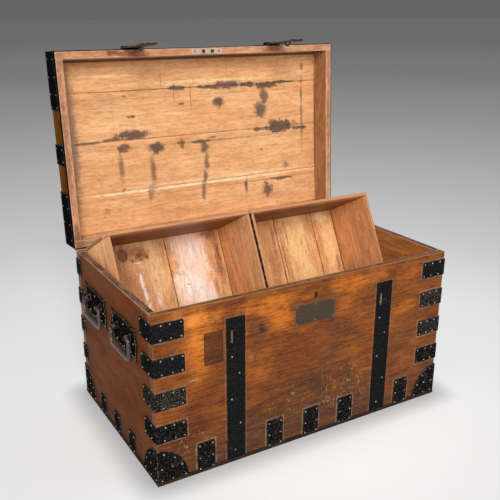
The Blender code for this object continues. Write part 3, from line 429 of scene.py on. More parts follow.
@dataclass(frozen=True)
class Mark:
    """A mark on a board, in the drawing of its sub-assembly."""

    centre: Triple
    size: Triple
    colour: Colour
    strength: float = 0.8
    soft: float = 0.5
    ragged: float = 0.5
    grain: float = 30.0
    kind: MarkKind = MarkKind.BLOT

    def lay(self, graph: Graph, colour: Socket, place: Socket, roughs: tuple[Socket, Socket]) -> Socket:
        """Lay the mark over a colour.

        Args:
            graph: The material's nodes.
            colour: The colour so far.
            place: The place in the drawing.
            roughs: A broad and a close noise for ragged edges.

        Returns:
            The colour with the mark on it.
        """
        if self.kind.square:
            return self._lay_square(graph, colour, place, roughs[1])
        rough = roughs[0 if self.grain < 30.0 else 1]
        sizes = {"Centre": self.centre, "Size": self.size, "Soft": self.soft, "Ragged": self.ragged}
        mask = graph.effect(EFFECTS.blot, Vector=place, Rough=rough, **sizes)["Mask"]
        if self.kind is MarkKind.SCRATCHES:
            lines = graph.effect(EFFECTS.scratches, Vector=place, Scale=self.grain, Share=0.54)
            mask = graph.times(mask, lines["Mask"])
        return graph.mix(graph.times(mask, self.strength), colour, self.colour)

    def _lay_square(self, graph: Graph, colour: Socket, place: Socket, rough: Socket) -> Socket:
        """Lay a square mark over a colour.

        Args:
            graph: The material's nodes.
            colour: The colour so far.
            place: The place in the drawing.
            rough: A noise that breaks up a dusty line.

        Returns:
            The colour with the mark on it.
        """
        wide = 0.0036 if self.kind is MarkKind.FRAME else 0.0026
        patch = graph.effect(EFFECTS.patch, Vector=place, Centre=self.centre, Half=self.size, Line=wide)
        line = graph.times(patch["Border"], self.strength)
        if self.kind is MarkKind.FRAME:
            return graph.mix(graph.times(line, graph.remap(rough, 0.36, 0.56)), colour, self.colour)
        inside = graph.mix(graph.times(patch["Inside"], self.strength), colour, self.colour)
        if self.kind is MarkKind.BAND:
            return inside
        return graph.mix(line, inside, tuple(0.25 * part for part in self.colour))


def drawing_vector(graph: Graph, pose: Pose) -> Socket:
    """The surface point in the drawing of its sub-assembly.

    Args:
        graph: The material's nodes.
        pose: The drawing's place.

    Returns:
        The point.
    """
    place = graph.add("TexCoord").outputs["Object"]
    feeds = {"Vector": place, "Location": pose.origin, "Rotation": (math.radians(pose.tilt), 0.0, 0.0)}
    return graph.add("Mapping", feeds, vector_type="TEXTURE").outputs["Vector"]


def new_material(name: str) -> tuple[bpy.types.Material, Graph, Sockets]:
    """Make an empty Principled material.

    Args:
        name: Its name.

    Returns:
        The material, its graph and its shader's inputs.
    """
    made = bpy.data.materials.new(name)
    made.use_nodes = True
    return made, Graph(made.node_tree), made.node_tree.nodes["Principled BSDF"].inputs


@dataclass(frozen=True)
class Wood:
    """A wood finish: colours, figure, sheen and wear."""

    dark: Colour
    body: Colour
    light: Colour
    edge: Colour
    rings: float = 46.0
    figure: float = 0.35
    fibre: float = 0.4
    flecks: float = 0.4
    mottle: float = 0.35
    patchy: float = 0.6
    rough: Pair = (0.38, 0.6)
    shine: float = 0.12
    bump: float = 0.3
    grit: float = 0.35
    scratch: float = 0.0
    scratch_colour: Colour = (0.5, 0.3, 0.14)
    edge_reach: float = 0.004
    edge_share: float = 0.6

    def material(
        self,
        name: str,
        grain: Grain,
        box: Box,
        pose: Pose = HERE,
        seed: float = 0.0,
        marks: Sequence[Mark] = (),
    ) -> bpy.types.Material:
        """Make the material of one board.

        Args:
            name: The material's name.
            grain: The axis of the grain, in the drawing.
            box: The board's low and high corners, for the wear along its edges.
            pose: The drawing's place.
            seed: A shift that makes this board's figure its own.
            marks: Stains and patches on it.

        Returns:
            The material.
        """
        made, graph, shader = new_material(name)
        place = drawing_vector(graph, pose)
        moved = graph.vector("ADD", place, (seed * 3.1, seed * 1.7, seed * 2.3))
        turned = graph.add("Mapping", {"Vector": moved, "Rotation": grain.value}).outputs["Vector"]
        figure = graph.effect(EFFECTS.figure, Vector=turned, Rings=self.rings)
        cloud = graph.noise(graph.vector("MULTIPLY", turned, (2.2, 8.0, 8.0)), 1.3, 4.0, 0.6, 0.4)
        roughs = (graph.noise(place, 15.0, 5.0, 0.6), graph.noise(place, 52.0, 5.0, 0.66))
        speckle = graph.noise(place, 330.0, 2.0, 0.7)
        colour = graph.mix(graph.remap(cloud, 0.35, 0.68, 0.0, self.patchy), self.body, self.light)
        colour = graph.mix(graph.times(figure["Rings"], self.figure), colour, self.dark)
        colour = graph.mix(graph.times(figure["Mottle"], self.mottle), colour, self.dark)
        for mark in marks:
            if not mark.kind.on_top:
                colour = mark.lay(graph, colour, place, roughs)
        for share, tone in (
            (graph.remap(figure["Fibre"], 0.47, 0.64, 0.0, self.fibre), self.dark),
            (graph.remap(figure["Fibre"], 0.47, 0.34, 0.0, 0.5 * self.fibre), self.light),
            (graph.times(figure["Flecks"], self.flecks), self.dark),
            (graph.remap(speckle, 0.56, 0.7, 0.0, self.grit), self.dark),
            (graph.remap(speckle, 0.44, 0.3, 0.0, self.grit), self.light),
        ):
            colour = graph.mix(share, colour, tone)
        if self.scratch > 0.0:
            lines = graph.effect(EFFECTS.scratches, Vector=place, Scale=14.0, Share=self.scratch)
            colour = graph.mix(graph.times(lines["Mask"], 0.5), colour, self.scratch_colour)
        sizes = {"Low": box[0], "High": box[1], "Reach": self.edge_reach}
        wear = graph.effect(EFFECTS.edges, Vector=place, Ragged=1.6, **sizes)
        colour = graph.mix(graph.times(wear["Mask"], self.edge_share), colour, self.edge)
        for mark in marks:
            if mark.kind.on_top:
                colour = mark.lay(graph, colour, place, roughs)
        graph.feed(shader["Base Color"], colour)
        graph.feed(shader["Roughness"], graph.remap(cloud, 0.3, 0.7, self.rough[1], self.rough[0]))
        graph.feed(shader["Specular IOR Level"], self.shine)
        relief = graph.math("ADD", figure["Fibre"], graph.times(figure["Rings"], 0.4))
        height = graph.math("ADD", graph.times(relief, 0.5), graph.noise(place, 22.0, 3.0, 0.55))
        bump = graph.add("Bump", {"Strength": self.bump, "Distance": 0.0012, "Height": height})
        graph.feed(shader["Normal"], bump.outputs["Normal"])
        return made


@dataclass(frozen=True)
class Metal:
    """An old metal finish: pitted, dusty and worn pale in places, with pale specks that are partly painted
    glints.
    """

    base: Colour
    dust: Colour
    # The colour of the pale specks: bare metal, partly painted glints on the pits.
    bare: Colour
    worn: float = 0.3
    shine: float = 0.12
    bump: float = 0.6
    rough: Pair = (0.3, 0.6)
    relief: float = 0.0009

    def material(self, name: str) -> bpy.types.Material:
        """Make the material.

        Args:
            name: Its name.

        Returns:
            The material.
        """
        made, graph, shader = new_material(name)
        place = graph.add("TexCoord").outputs["Object"]
        pits = graph.effect(EFFECTS.pits, Vector=place, Worn=self.worn)
        colour = graph.mix(graph.times(pits["Patches"], 0.75), self.base, self.dust)
        graph.feed(shader["Base Color"], graph.mix(graph.times(pits["Specks"], 0.85), colour, self.bare))
        graph.feed(shader["Roughness"], graph.remap(pits["Patches"], 0.0, 1.0, *self.rough))
        graph.feed(shader["Specular IOR Level"], self.shine)
        bump = graph.add("Bump", {"Strength": self.bump, "Distance": self.relief, "Height": pits["Height"]})
        graph.feed(shader["Normal"], bump.outputs["Normal"])
        return made


VARNISHED = Wood(
    (0.036, 0.011, 0.006), (0.180, 0.051, 0.012), (0.40, 0.115, 0.014), (0.20, 0.075, 0.028), figure=0.15,
    fibre=0.5, flecks=0.42, mottle=0.36, grit=0.42, rough=(0.34, 0.52), shine=0.10, bump=0.35,
    edge_reach=0.003, edge_share=0.7,
)
# A darker copy of the varnish for the side walls: their own darker tone, with painted shade on the sides.
SIDE_VARNISH_SHADED = Wood(
    (0.055, 0.016, 0.006), (0.142, 0.038, 0.009), (0.22, 0.058, 0.008), (0.20, 0.09, 0.045), figure=0.12,
    fibre=0.4, flecks=0.35, mottle=0.35, rough=(0.4, 0.56), shine=0.02, scratch=0.3,
    scratch_colour=(0.20, 0.09, 0.04),
)
LID_PINE = Wood(
    (0.33, 0.13, 0.045), (0.76, 0.385, 0.17), (0.88, 0.52, 0.265), (0.36, 0.18, 0.09), rings=60.0,
    figure=0.14, fibre=0.3, flecks=0.36, mottle=0.24, rough=(0.5, 0.66), grit=0.32, scratch=0.34,
    scratch_colour=(0.30, 0.15, 0.07), edge_share=0.0,
)
LID_RIM = Wood(
    (0.22, 0.085, 0.04), (0.58, 0.265, 0.13), (0.74, 0.42, 0.25), (0.74, 0.48, 0.33), figure=0.15,
    fibre=0.4, flecks=0.5, mottle=0.45, edge_reach=0.002, edge_share=0.4,
)
RAIL_PINE = replace(LID_PINE, dark=(0.13, 0.048, 0.02), fibre=0.45, flecks=0.5, mottle=0.35)
TRAY_PINE = Wood(
    (0.17, 0.055, 0.018), (0.82, 0.375, 0.145), (0.96, 0.60, 0.32), (0.84, 0.62, 0.50), rings=70.0,
    figure=0.2, fibre=0.24, flecks=0.24, mottle=0.28, rough=(0.4, 0.58), grit=0.45, scratch=0.42,
    scratch_colour=(0.24, 0.11, 0.05), edge_reach=0.0018, edge_share=0.5,
)
TRAY_FLOOR = replace(TRAY_PINE, edge=(0.10, 0.038, 0.018), edge_reach=0.0018, edge_share=0.85)
TRAY_WALL = replace(
    TRAY_PINE, body=(0.96, 0.425, 0.170), light=(1.0, 0.59, 0.30), edge=(0.28, 0.125, 0.06),
    edge_reach=0.0022, edge_share=0.65, scratch=0.3,
)
INNER_PINE = Wood(
    (0.16, 0.055, 0.015), (0.52, 0.19, 0.05), (0.60, 0.25, 0.08), (0.30, 0.13, 0.06), figure=0.3,
    fibre=0.45, rough=(0.45, 0.62),
)
RIM_WOOD = Wood(
    (0.034, 0.016, 0.010), (0.21, 0.092, 0.052), (0.44, 0.25, 0.17), (0.50, 0.30, 0.20), figure=0.5,
    fibre=0.5, flecks=0.6, mottle=0.85, rough=(0.42, 0.6), shine=0.05, bump=0.5, grit=0.6,
    edge_reach=0.0026, edge_share=0.8,
)
FRONT_RIM = Wood(
    (0.070, 0.024, 0.009), (0.25, 0.092, 0.025), (0.38, 0.16, 0.05), (0.50, 0.33, 0.19), figure=0.3,
    fibre=0.6, flecks=0.6, mottle=0.5, bump=0.5, grit=0.5, edge_reach=0.0026, edge_share=0.75,
)
# The near-black strip round the foot: a dark edge carrying the painted shade line at the foot.
FOOT_EDGE_SHADE_WOOD = Wood(
    (0.008, 0.005, 0.004), (0.030, 0.015, 0.011), (0.060, 0.032, 0.022), (0.075, 0.045, 0.032), shine=0.0,
    edge_reach=0.0014, edge_share=0.5,
)
LID_OUTER = Wood(
    (0.035, 0.0104, 0.0024), (0.130, 0.0407, 0.0048), (0.240, 0.0814, 0.0072), (0.08, 0.04, 0.02),
    figure=0.3, fibre=0.4, mottle=0.6, rough=(0.36, 0.54), shine=0.0,
)
IRON = Metal((0.0085, 0.0080, 0.0088), (0.030, 0.026, 0.024), (0.060, 0.054, 0.048), worn=0.4, shine=0.0)
IRON_PITTED = Metal(
    (0.0048, 0.0045, 0.0046), (0.028, 0.023, 0.019), (0.095, 0.083, 0.071), worn=0.55, shine=0.0,
)
IRON_WORN = Metal(
    (0.008, 0.0068, 0.0064), (0.034, 0.027, 0.023), (0.125, 0.105, 0.09), worn=0.72, shine=0.0,
)
# Pale plate edges: worn metal with a painted edge highlight.
IRON_RIM = Metal((0.075, 0.062, 0.052), (0.16, 0.13, 0.105), (0.40, 0.34, 0.29), worn=0.8, shine=0.03)
STRAP_RIM = Metal((0.022, 0.019, 0.018), (0.06, 0.05, 0.042), (0.18, 0.155, 0.13), worn=0.5)
LID_IRON = Metal((0.004, 0.004, 0.0045), (0.016, 0.012, 0.010), (0.05, 0.042, 0.036), worn=0.2, shine=0.0)
CAST_IRON = Metal((0.005, 0.0046, 0.0046), (0.020, 0.015, 0.013), (0.09, 0.07, 0.06), worn=0.35, shine=0.0)
HASP_IRON = Metal((0.018, 0.013, 0.011), (0.10, 0.072, 0.056), (0.24, 0.19, 0.16), worn=0.6, shine=0.05)
BAIL_IRON = Metal((0.060, 0.042, 0.038), (0.17, 0.11, 0.09), (0.42, 0.33, 0.29), worn=0.45, shine=0.35)
NAIL_METAL = Metal(
    (0.24, 0.225, 0.21), (0.13, 0.11, 0.09), (0.5, 0.46, 0.42), worn=0.6, bump=0.3, shine=0.3,
)
STEEL = Metal((0.48, 0.34, 0.245), (0.26, 0.18, 0.13), (0.64, 0.52, 0.43), bump=0.15, worn=0.25, shine=0.4)
LOCK_STEEL = Metal((0.20, 0.10, 0.05), (0.26, 0.14, 0.08), (0.36, 0.24, 0.15), bump=0.3, worn=0.3)
SLOT_BRASS = Metal((0.30, 0.20, 0.12), (0.14, 0.09, 0.05), (0.6, 0.45, 0.3), worn=0.5)
PIN_STEEL = Metal((0.02, 0.016, 0.014), (0.05, 0.035, 0.03), (0.2, 0.17, 0.15), bump=0.3, worn=0.4)
BRONZE = Metal((0.050, 0.034, 0.021), (0.072, 0.048, 0.030), (0.10, 0.072, 0.048), bump=0.2, worn=0.3)
BRONZE_RIM = Metal((0.20, 0.155, 0.115), (0.28, 0.22, 0.17), (0.42, 0.35, 0.28), worn=0.5)


class IronState(Enum):
    """How worn a piece of iron is."""

    BLACK = "black"
    STRAP = "strap"
    PITTED = "pitted"
    WORN = "worn"

    @property
    def face(self) -> Metal:
        """The finish of its faces."""
        return {"pitted": IRON_PITTED, "worn": IRON_WORN}.get(self.value, IRON)

    @property
    def rim(self) -> tuple[str, Metal]:
        """The name and the finish of its edges."""
        return ("strap_rim", STRAP_RIM) if self is IronState.STRAP else ("iron_rim", IRON_RIM)


# Shapes


def box_shape(low: Triple, high: Triple) -> Shape:
    """Make a closed box.

    Args:
        low: Its low corner.
        high: Its high corner.

    Returns:
        The box.
    """
    shape = bmesh.new()
    size = Vector(high) - Vector(low)
    middle = (Vector(high) + Vector(low)) / 2
    bmesh.ops.create_cube(shape, size=1.0, matrix=Matrix.Translation(middle) @ Matrix.Diagonal((*size, 1.0)))
    return shape


def moved_shape(shape: Shape, matrix: Matrix) -> Shape:
    """Move a shape, and give it back."""
    bmesh.ops.transform(shape, matrix=matrix, verts=shape.verts)
    return shape


def loft_shape(rings: Sequence[Sequence[Vector]]) -> Shape:
    """Skin a row of rings of points, with a cap at each end.

    Args:
        rings: The rings, each with as many points.

    Returns:
        The closed shape.
    """
    shape = bmesh.new()
    skins = [[shape.verts.new(point) for point in ring] for ring in rings]
    for near, far in zip(skins, skins[1:]):
        for i in range(len(near)):
            j = (i + 1) % len(near)
            shape.faces.new((near[i], near[j], far[j], far[i]))
    shape.faces.new(skins[0])
    shape.faces.new(skins[-1])
    bmesh.ops.recalc_face_normals(shape, faces=shape.faces)
    return shape


def prism_shape(outline: Sequence[Pair], axis: str, start: float, end: float) -> Shape:
    """Extrude a closed outline.

    Args:
        outline: Its points, in the other two axes in X, Y, Z order.
        axis: The axis to extrude along.
        start: Where the prism starts on it.
        end: Where it ends.

    Returns:
        The prism.
    """
    shape = bmesh.new()
    near = []
    for first, second in outline:
        spot = {"X": (start, first, second), "Y": (first, start, second), "Z": (first, second, start)}[axis]
        near.append(shape.verts.new(spot))
    face = shape.faces.new(near)
    moved = bmesh.ops.extrude_face_region(shape, geom=[face])
    step = {"X": (end - start, 0, 0), "Y": (0, end - start, 0), "Z": (0, 0, end - start)}[axis]
    far = [item for item in moved["geom"] if isinstance(item, bmesh.types.BMVert)]
    bmesh.ops.translate(shape, verts=far, vec=step)
    bmesh.ops.recalc_face_normals(shape, faces=shape.faces)
    return shape


def circle(centre: Pair, radius: float, steps: int) -> list[Pair]:
    """The points of a circle."""
    turns = (2 * math.pi * i / steps for i in range(steps))
    return [(centre[0] + radius * math.cos(turn), centre[1] + radius * math.sin(turn)) for turn in turns]


def carve(shape: Shape, cutters: Sequence[Shape]) -> Shape:
    """Take closed shapes out of another.

    Args:
        shape: The shape to cut.
        cutters: The shapes to take out.

    Returns:
        What is left.
    """
    for cutter in cutters:
        pair = []
        for source in (shape, cutter):
            mesh = bpy.data.meshes.new("carving")
            source.to_mesh(mesh)
            source.free()
            pair.append(bpy.data.objects.new("carving", mesh))
            bpy.context.scene.collection.objects.link(pair[-1])
        change = pair[0].modifiers.new("cut", "BOOLEAN")
        change.operation = "DIFFERENCE"
        change.solver = "EXACT"
        change.object = pair[1]
        ready = pair[0].evaluated_get(bpy.context.evaluated_depsgraph_get())
        shape = bmesh.new()
        shape.from_mesh(ready.to_mesh())
        ready.to_mesh_clear()
        for made in pair:
            mesh = made.data
            bpy.data.objects.remove(made, do_unlink=True)
            bpy.data.meshes.remove(mesh)
        bmesh.ops.dissolve_limit(shape, angle_limit=math.radians(0.1), verts=shape.verts, edges=shape.edges)
    return shape


def node_shape(node: str) -> Shape:
    """Copy a CAD node's mesh, with its flat faces made whole.

    Args:
        node: The node's name.

    Returns:
        The clean copy.
    """
    shape = bmesh.new()
    shape.from_mesh(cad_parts[node].data)
    bmesh.ops.remove_doubles(shape, verts=shape.verts, dist=0.00002)
    bmesh.ops.dissolve_limit(shape, angle_limit=math.radians(0.6), verts=shape.verts, edges=shape.edges)
    bmesh.ops.recalc_face_normals(shape, faces=shape.faces)
    return shape


def outward(side: Side) -> Vector:
    """The direction out of a side."""
    return Vector((side.value, 0.0, 0.0))


def endward(end: End) -> Vector:
    """The direction out of the front or the rear."""
    return Vector((0.0, end.value, 0.0))


@dataclass
class Workshop:
    """Turns shapes into finished pieces that ride on their bodies."""

    nails: dict[str, list[tuple[Vector, Vector, float]]] = field(default_factory=dict)
    dice: random.Random = field(default_factory=lambda: random.Random(1871))
    kept: dict[str, bpy.types.Material] = field(default_factory=dict)
    turn_limit: float = math.radians(40.0)
    head_sizes: Pair = (0.75, 1.1)
    head_lean: float = 0.12
    head_sunk: float = 0.0004
    head_rings: Sequence[Pair] = ((1.0, 0.0), (0.97, 0.22), (0.7, 0.5), (0.32, 0.62))
    head_sides: int = 10

    def metal(self, name: str, finish: Metal) -> bpy.types.Material:
        """Give a metal material, made once for each name.

        Args:
            name: The material's name.
            finish: Its finish.

        Returns:
            The material.
        """
        if name not in self.kept:
            self.kept[name] = finish.material(name)
        return self.kept[name]

    def iron(self, state: IronState) -> list[bpy.types.Material]:
        """The face and rim materials of a plate."""
        return [self.metal(f"iron_{state.value}", state.face), self.metal(*state.rim)]

    def piece(
        self,
        name: str,
        shape: Shape,
        materials: Sequence[bpy.types.Material],
        body: str,
        slot: Slot,
        replaces: Sequence[str] = (),
        pose: Pose = HERE,
        arris: float = 0.0008,
        arris_material: int = -1,
        pick: Picker | None = None,
    ) -> None:
        """Finish a shape as a piece of the object.

        Args:
            name: The piece's name.
            shape: Its mesh, in the drawing of its sub-assembly.
            materials: Its materials.
            body: The CAD body it rides on.
            slot: Not used.
            replaces: CAD nodes that it stands for.
            pose: The drawing's place.
            arris: The width of the softened edges.
            arris_material: The material of those edges, or -1 for that of their faces.
            pick: Gives a face's material from its normal and middle, in the drawing.
        """
        if pick is not None:
            shape.normal_update()
            for face in shape.faces:
                face.material_index = pick(face.normal, face.calc_center_median())
        moved_shape(shape, pose.matrix())
        mesh = bpy.data.meshes.new(name)
        shape.to_mesh(mesh)
        shape.free()
        for material in materials:
            mesh.materials.append(material)
        made = bpy.data.objects.new(name, mesh)
        bpy.context.scene.collection.objects.link(made)
        mesh.shade_smooth()
        mesh.set_sharp_from_angle(angle=self.turn_limit)
        if arris > 0.0:
            soft = made.modifiers.new("arris", "BEVEL")
            soft.width = arris
            soft.segments = 2
            soft.limit_method = "ANGLE"
            soft.angle_limit = self.turn_limit
            soft.material = arris_material
            soft.harden_normals = True
        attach(made, body)
        if replaces:
            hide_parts(*replaces)
        LOG.info("piece %s on %s", name, body)

    def refine(
        self, node: str, materials: Sequence[bpy.types.Material], body: str, slot: Slot, arris: float = 0.0006
    ) -> None:
        """Replace a CAD node by the same shape with softened edges."""
        rim = 1 if len(materials) > 1 else -1
        self.piece(f"{node}_worked", node_shape(node), materials, body, slot, [node], HERE, arris, rim)

    def dress(self, node: str, material: bpy.types.Material) -> None:
        """Give a CAD node that keeps its shape a better material.

        Args:
            node: The node's name.
            material: The material.
        """
        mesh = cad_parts[node].data
        mesh.materials.clear()
        mesh.materials.append(material)
        LOG.info("node %s finished", node)

    def nail(self, group: str, spot: Vector, normal: Vector, radius: float = 0.0027) -> None:
        """Note one nail to be driven later."""
        self.nails.setdefault(group, []).append((spot, normal, radius))

    def drive_nails(self, group: str, body: str) -> None:
        """Make all the nails of a group as one piece of small domed heads.

        Args:
            group: The group, and the piece's name.
            body: The CAD body it rides on.
        """
        shape = bmesh.new()
        for spot, normal, radius in self.nails[group]:
            size = radius * self.dice.uniform(*self.head_sizes)
            lean = Vector([self.dice.uniform(-self.head_lean, self.head_lean) for _ in range(3)])
            up = (normal + lean).normalized()
            turn = up.to_track_quat("Z", "Y").to_matrix().to_4x4()
            self._head(shape, Matrix.Translation(spot - up * self.head_sunk) @ turn, size)
        self.piece(group, shape, [self.metal("nail_metal", NAIL_METAL)], body, Slot.IRON, arris=0.0)

    def _head(self, shape: Shape, place: Matrix, size: float) -> None:
        """Add one domed nail head.

        Args:
            shape: The shape to add it to.
            place: Where it stands.
            size: Its radius.
        """
        rings = []
        sides = self.head_sides
        for reach, rise in self.head_rings:
            ring = [Vector((x, y, rise)) * size for x, y in circle((0.0, 0.0), reach, sides)]
            rings.append([shape.verts.new(place @ spot) for spot in ring])
        for low, high in zip(rings, rings[1:]):
            for i in range(sides):
                shape.faces.new((low[i], low[(i + 1) % sides], high[(i + 1) % sides], high[i]))
        shape.faces.new(rings[-1])
        shape.faces.new(rings[0][::-1])


class Bend:
    """A line in a plane with rounded corners, walked by its length."""

    def __init__(self, corners: Sequence[Pair], radius: float, steps: int = 4) -> None:
        """Round each inner corner of the line.

        Args:
            corners: The line's points.
            radius: The radius at each inner corner.
            steps: Steps round a corner.
        """
        self.corners = list(corners)
        self.radius = radius
        self.points: list[Vector] = [Vector(corners[0])]
        for before, here, after in zip(corners, corners[1:], corners[2:]):
            middle = Vector(here)
            start = middle + (Vector(before) - middle).normalized() * radius
            end = middle + (Vector(after) - middle).normalized() * radius
            for i in range(steps + 1):
                share = i / steps
                self.points.append(start.lerp(middle, share).lerp(middle.lerp(end, share), share))
        self.points.append(Vector(corners[-1]))
        self.marks = [0.0]
        for first, second in zip(self.points, self.points[1:]):
            self.marks.append(self.marks[-1] + (second - first).length)

    @property
    def length(self) -> float:
        """The whole length of the line."""
        return self.marks[-1]

    def at(self, run: float) -> tuple[Vector, Vector]:
        """Find a point on the line.

        Args:
            run: The length along the line.

        Returns:
            The point, and the left-hand normal there.
        """
        run = min(max(run, 0.0), self.length)
        i = next(i for i in range(1, len(self.marks)) if run <= self.marks[i])
        first, second = self.points[i - 1], self.points[i]
        share = (run - self.marks[i - 1]) / max(self.marks[i] - self.marks[i - 1], 1e-9)
        way = (second - first).normalized()
        return first.lerp(second, share), Vector((-way.y, way.x))

    def turned(self, out: Pair, run: float) -> "Bend":
        """This line, or its reverse if its normal at a run doesn't point out."""
        faces_out = self.at(run)[1].dot(Vector(out)) >= 0.0
        return self if faces_out else Bend(self.corners[::-1], self.radius)


@dataclass
class IronStrip:
    """A plate cut from strip and bent along a line, with rounded corners and slightly uneven edges.

    The line lies in the other two axes, and the strip's width runs along its own axis.
    """

    line: Bend
    axis: str
    start: float
    end: float
    thick: float
    corners: tuple[float, float, float, float] = (0.004, 0.004, 0.004, 0.004)
    uneven: float = 0.0004
    pitch: float = 0.009
    seed: int = 0

    def spot(self, run: float, across: float, depth: float = 0.0) -> Vector:
        """Find a point of the strip.

        Args:
            run: The length along its line.
            across: The place along its axis.
            depth: The depth below its outer face.

        Returns:
            The point.
        """
        place, normal = self.line.at(run)
        inner = place - normal * depth
        spots = {"X": (across, *inner), "Y": (inner.x, across, inner.y), "Z": (*inner, across)}
        return Vector(spots[self.axis])

    def normal(self, run: float) -> Vector:
        """The outward direction of the strip's face."""
        return (self.spot(run, 0.0) - self.spot(run, 0.0, 1.0)).normalized()

    def _stations(self) -> list[float]:
        """Where the strip is sampled along its line: at its rounded ends, its bends and now and then between.

        Returns:
            The lengths along the line.
        """
        total = self.line.length
        spots = {0.0, total, *self.line.marks}
        for i in range(1, 6):
            curve = 1 - math.cos(math.pi / 2 * i / 5)
            spots.update((max(self.corners[:2]) * curve, total - max(self.corners[2:]) * curve))
        count = int(total / self.pitch)
        spots.update(total * i / count for i in range(1, count))
        ordered = sorted(spots)
        kept = [ordered[0]]
        for spot in ordered[1:]:
            if spot - kept[-1] > 0.0002:
                kept.append(spot)
        kept[-1] = total
        return kept

    @staticmethod
    def _inset(lead: float, radius: float) -> float:
        """How far a rounded corner draws the edge in, at a distance from the strip's end."""
        return radius - math.sqrt(radius**2 - (radius - lead) ** 2) if lead < radius else 0.0

    def shape(self) -> Shape:
        """The strip as one closed mesh.

        Returns:
            The mesh.
        """
        dice = random.Random(self.seed)
        total = self.line.length
        rings = []
        for run in self._stations():
            left = max(self._inset(run, self.corners[0]), self._inset(total - run, self.corners[2]))
            right = max(self._inset(run, self.corners[1]), self._inset(total - run, self.corners[3]))
            low = self.start + left + dice.uniform(0.0, self.uneven)
            high = self.end - right - dice.uniform(0.0, self.uneven)
            spots = ((low, 0.0), (high, 0.0), (high, self.thick), (low, self.thick))
            rings.append([self.spot(run, across, depth) for across, depth in spots])
        return loft_shape(rings)


# Sub-assemblies

# How squarely a face must look one way to take that side's finish.
FACING = 0.7


@dataclass(frozen=True)
class StrapSlot:
    """The slot and the key hole in a front strap."""

    offset: float = 0.015
    z: float = 0.3836
    width: float = 0.0065
    height: float = 0.036
    key_offset: float = 0.0085
    key_z: float = 0.3735
    key_radius: float = 0.0026
    lining: Triple = (0.0008, 0.0002, 0.006)

    def shape(self, side: Side, start: float, end: float) -> Shape:
        """Make the slot as a cutter.

        Args:
            side: The strap's side.
            start: Where the cutter starts along Y.
            end: Where it ends.

        Returns:
            The cutter.
        """
        middle = side.value * CHEST.strap_x - self.offset
        low = (middle - self.width / 2, start, self.z - self.height / 2)
        return box_shape(low, (middle + self.width / 2, end, self.z + self.height / 2))


STRAP_SLOT = StrapSlot()


@dataclass
class Carcase:
    """The four walls and the floor of the chest."""

    shop: Workshop
    lock_width: float = 0.100
    lock_height: float = 0.064
    lock_depth: float = 0.0142
    slot_depth: float = 0.014
    keyhole: Pair = (0.0049, 0.446)
    keyhole_radius: float = 0.0044
    keyhole_length: float = 0.0162
    over: float = 0.004
    arris: float = 0.0016
    body: str = "chest_body"

    def build(self) -> None:
        """Make the walls and finish the floor."""
        x, y, foot, top = CHEST.side_x, CHEST.end_y, CHEST.wall_foot, CHEST.height
        front = (-x, -y, foot), (x, CHEST.board - y, top)
        marks = (*FRONT_MARKS, *plate_frames())
        self._wall("front_wall", front, endward(End.FRONT), VARNISHED, 0.0, marks, self._cutters())
        rear = (-x, y - CHEST.board, foot), (x, y, top)
        self._wall("rear_wall", rear, endward(End.REAR), VARNISHED, 2.0, REAR_MARKS)
        for side in Side:
            xs = sorted((side.value * (x - CHEST.board), side.value * x))
            reach = y - CHEST.board - CHEST.gap
            box = (xs[0], -reach, foot), (xs[1], reach, top)
            marks = side_marks(side)
            self._wall(f"{side.word}_wall", box, outward(side), SIDE_VARNISH_SHADED, 5.0 + side.value, marks)
        low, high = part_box("bottom_board")
        floor = INNER_PINE.material("floor_pine", Grain.X, (tuple(low), tuple(high)), seed=4.0)
        self.shop.dress("bottom_board", floor)

    def _wall(
        self,
        name: str,
        box: Box,
        out: Vector,
        finish: Wood,
        seed: float,
        marks: Sequence[Mark],
        cutters: Sequence[Shape] = (),
    ) -> None:
        """Make one wall: varnish outside, rim on top, bare wood inside.

        Args:
            name: The wall's name.
            box: Its low and high corners.
            out: The direction out of it.
            finish: Its outer finish.
            seed: The shift of its figure.
            marks: The marks on its outer face.
            cutters: What is let into it.
        """
        lengthwise = abs(out.y) > FACING
        grain = Grain.X if lengthwise else Grain.Y
        rim = FRONT_RIM if lengthwise else RIM_WOOD
        finishes = [
            finish.material(f"{name}_varnish", grain, box, seed=seed, marks=marks),
            rim.material(f"{name}_rim", grain, box, seed=seed + 0.4),
            INNER_PINE.material(f"{name}_inside", grain, box, seed=seed + 0.8),
        ]

        def pick(normal: Vector, _: Vector) -> int:
            """The material of one face."""
            return 1 if normal.z > FACING else 2 if normal.dot(out) < -FACING else 0

        slot = Slot.FRONT_WOOD if lengthwise else Slot.SIDE_WOOD
        node = name.replace("wall", "board")
        shape = carve(box_shape(*box), cutters)
        self.shop.piece(name, shape, finishes, self.body, slot, [node], arris=self.arris, pick=pick)

    def _cutters(self) -> list[Shape]:
        """What is let into the front wall: the lock, the keyhole and the slots behind the straps.

        Returns:
            The cutters.
        """
        front = -CHEST.end_y
        middle = front + CHEST.board / 2
        across, half = self.lock_width / 2 + CHEST.gap, self.lock_depth / 2 + CHEST.gap
        foot = CHEST.height - self.lock_height - CHEST.gap
        x, z = self.keyhole
        top, low = z + self.keyhole_length / 2 - self.keyhole_radius, z - self.keyhole_length / 2
        head = circle((x, top), self.keyhole_radius, 16)[:9]
        outline = [*head, (x - self.keyhole_radius, low), (x + self.keyhole_radius, low)]
        return [
            box_shape((-across, middle - half, foot), (across, middle + half, CHEST.height + self.over)),
            prism_shape(outline, "Y", front - self.over, middle),
            *(STRAP_SLOT.shape(side, front - self.over, front + self.slot_depth) for side in Side),
        ]


@dataclass(frozen=True)
class FootPlates:
    """The hooked plates along the foot of one kind of wall."""

    width: float
    height: float
    places: Sequence[float]
    rounds: tuple[Pair, Pair]
    nail_rows: Sequence[float]
    nail_inset: float
    state: IronState
    seed: int
    seed_step: int


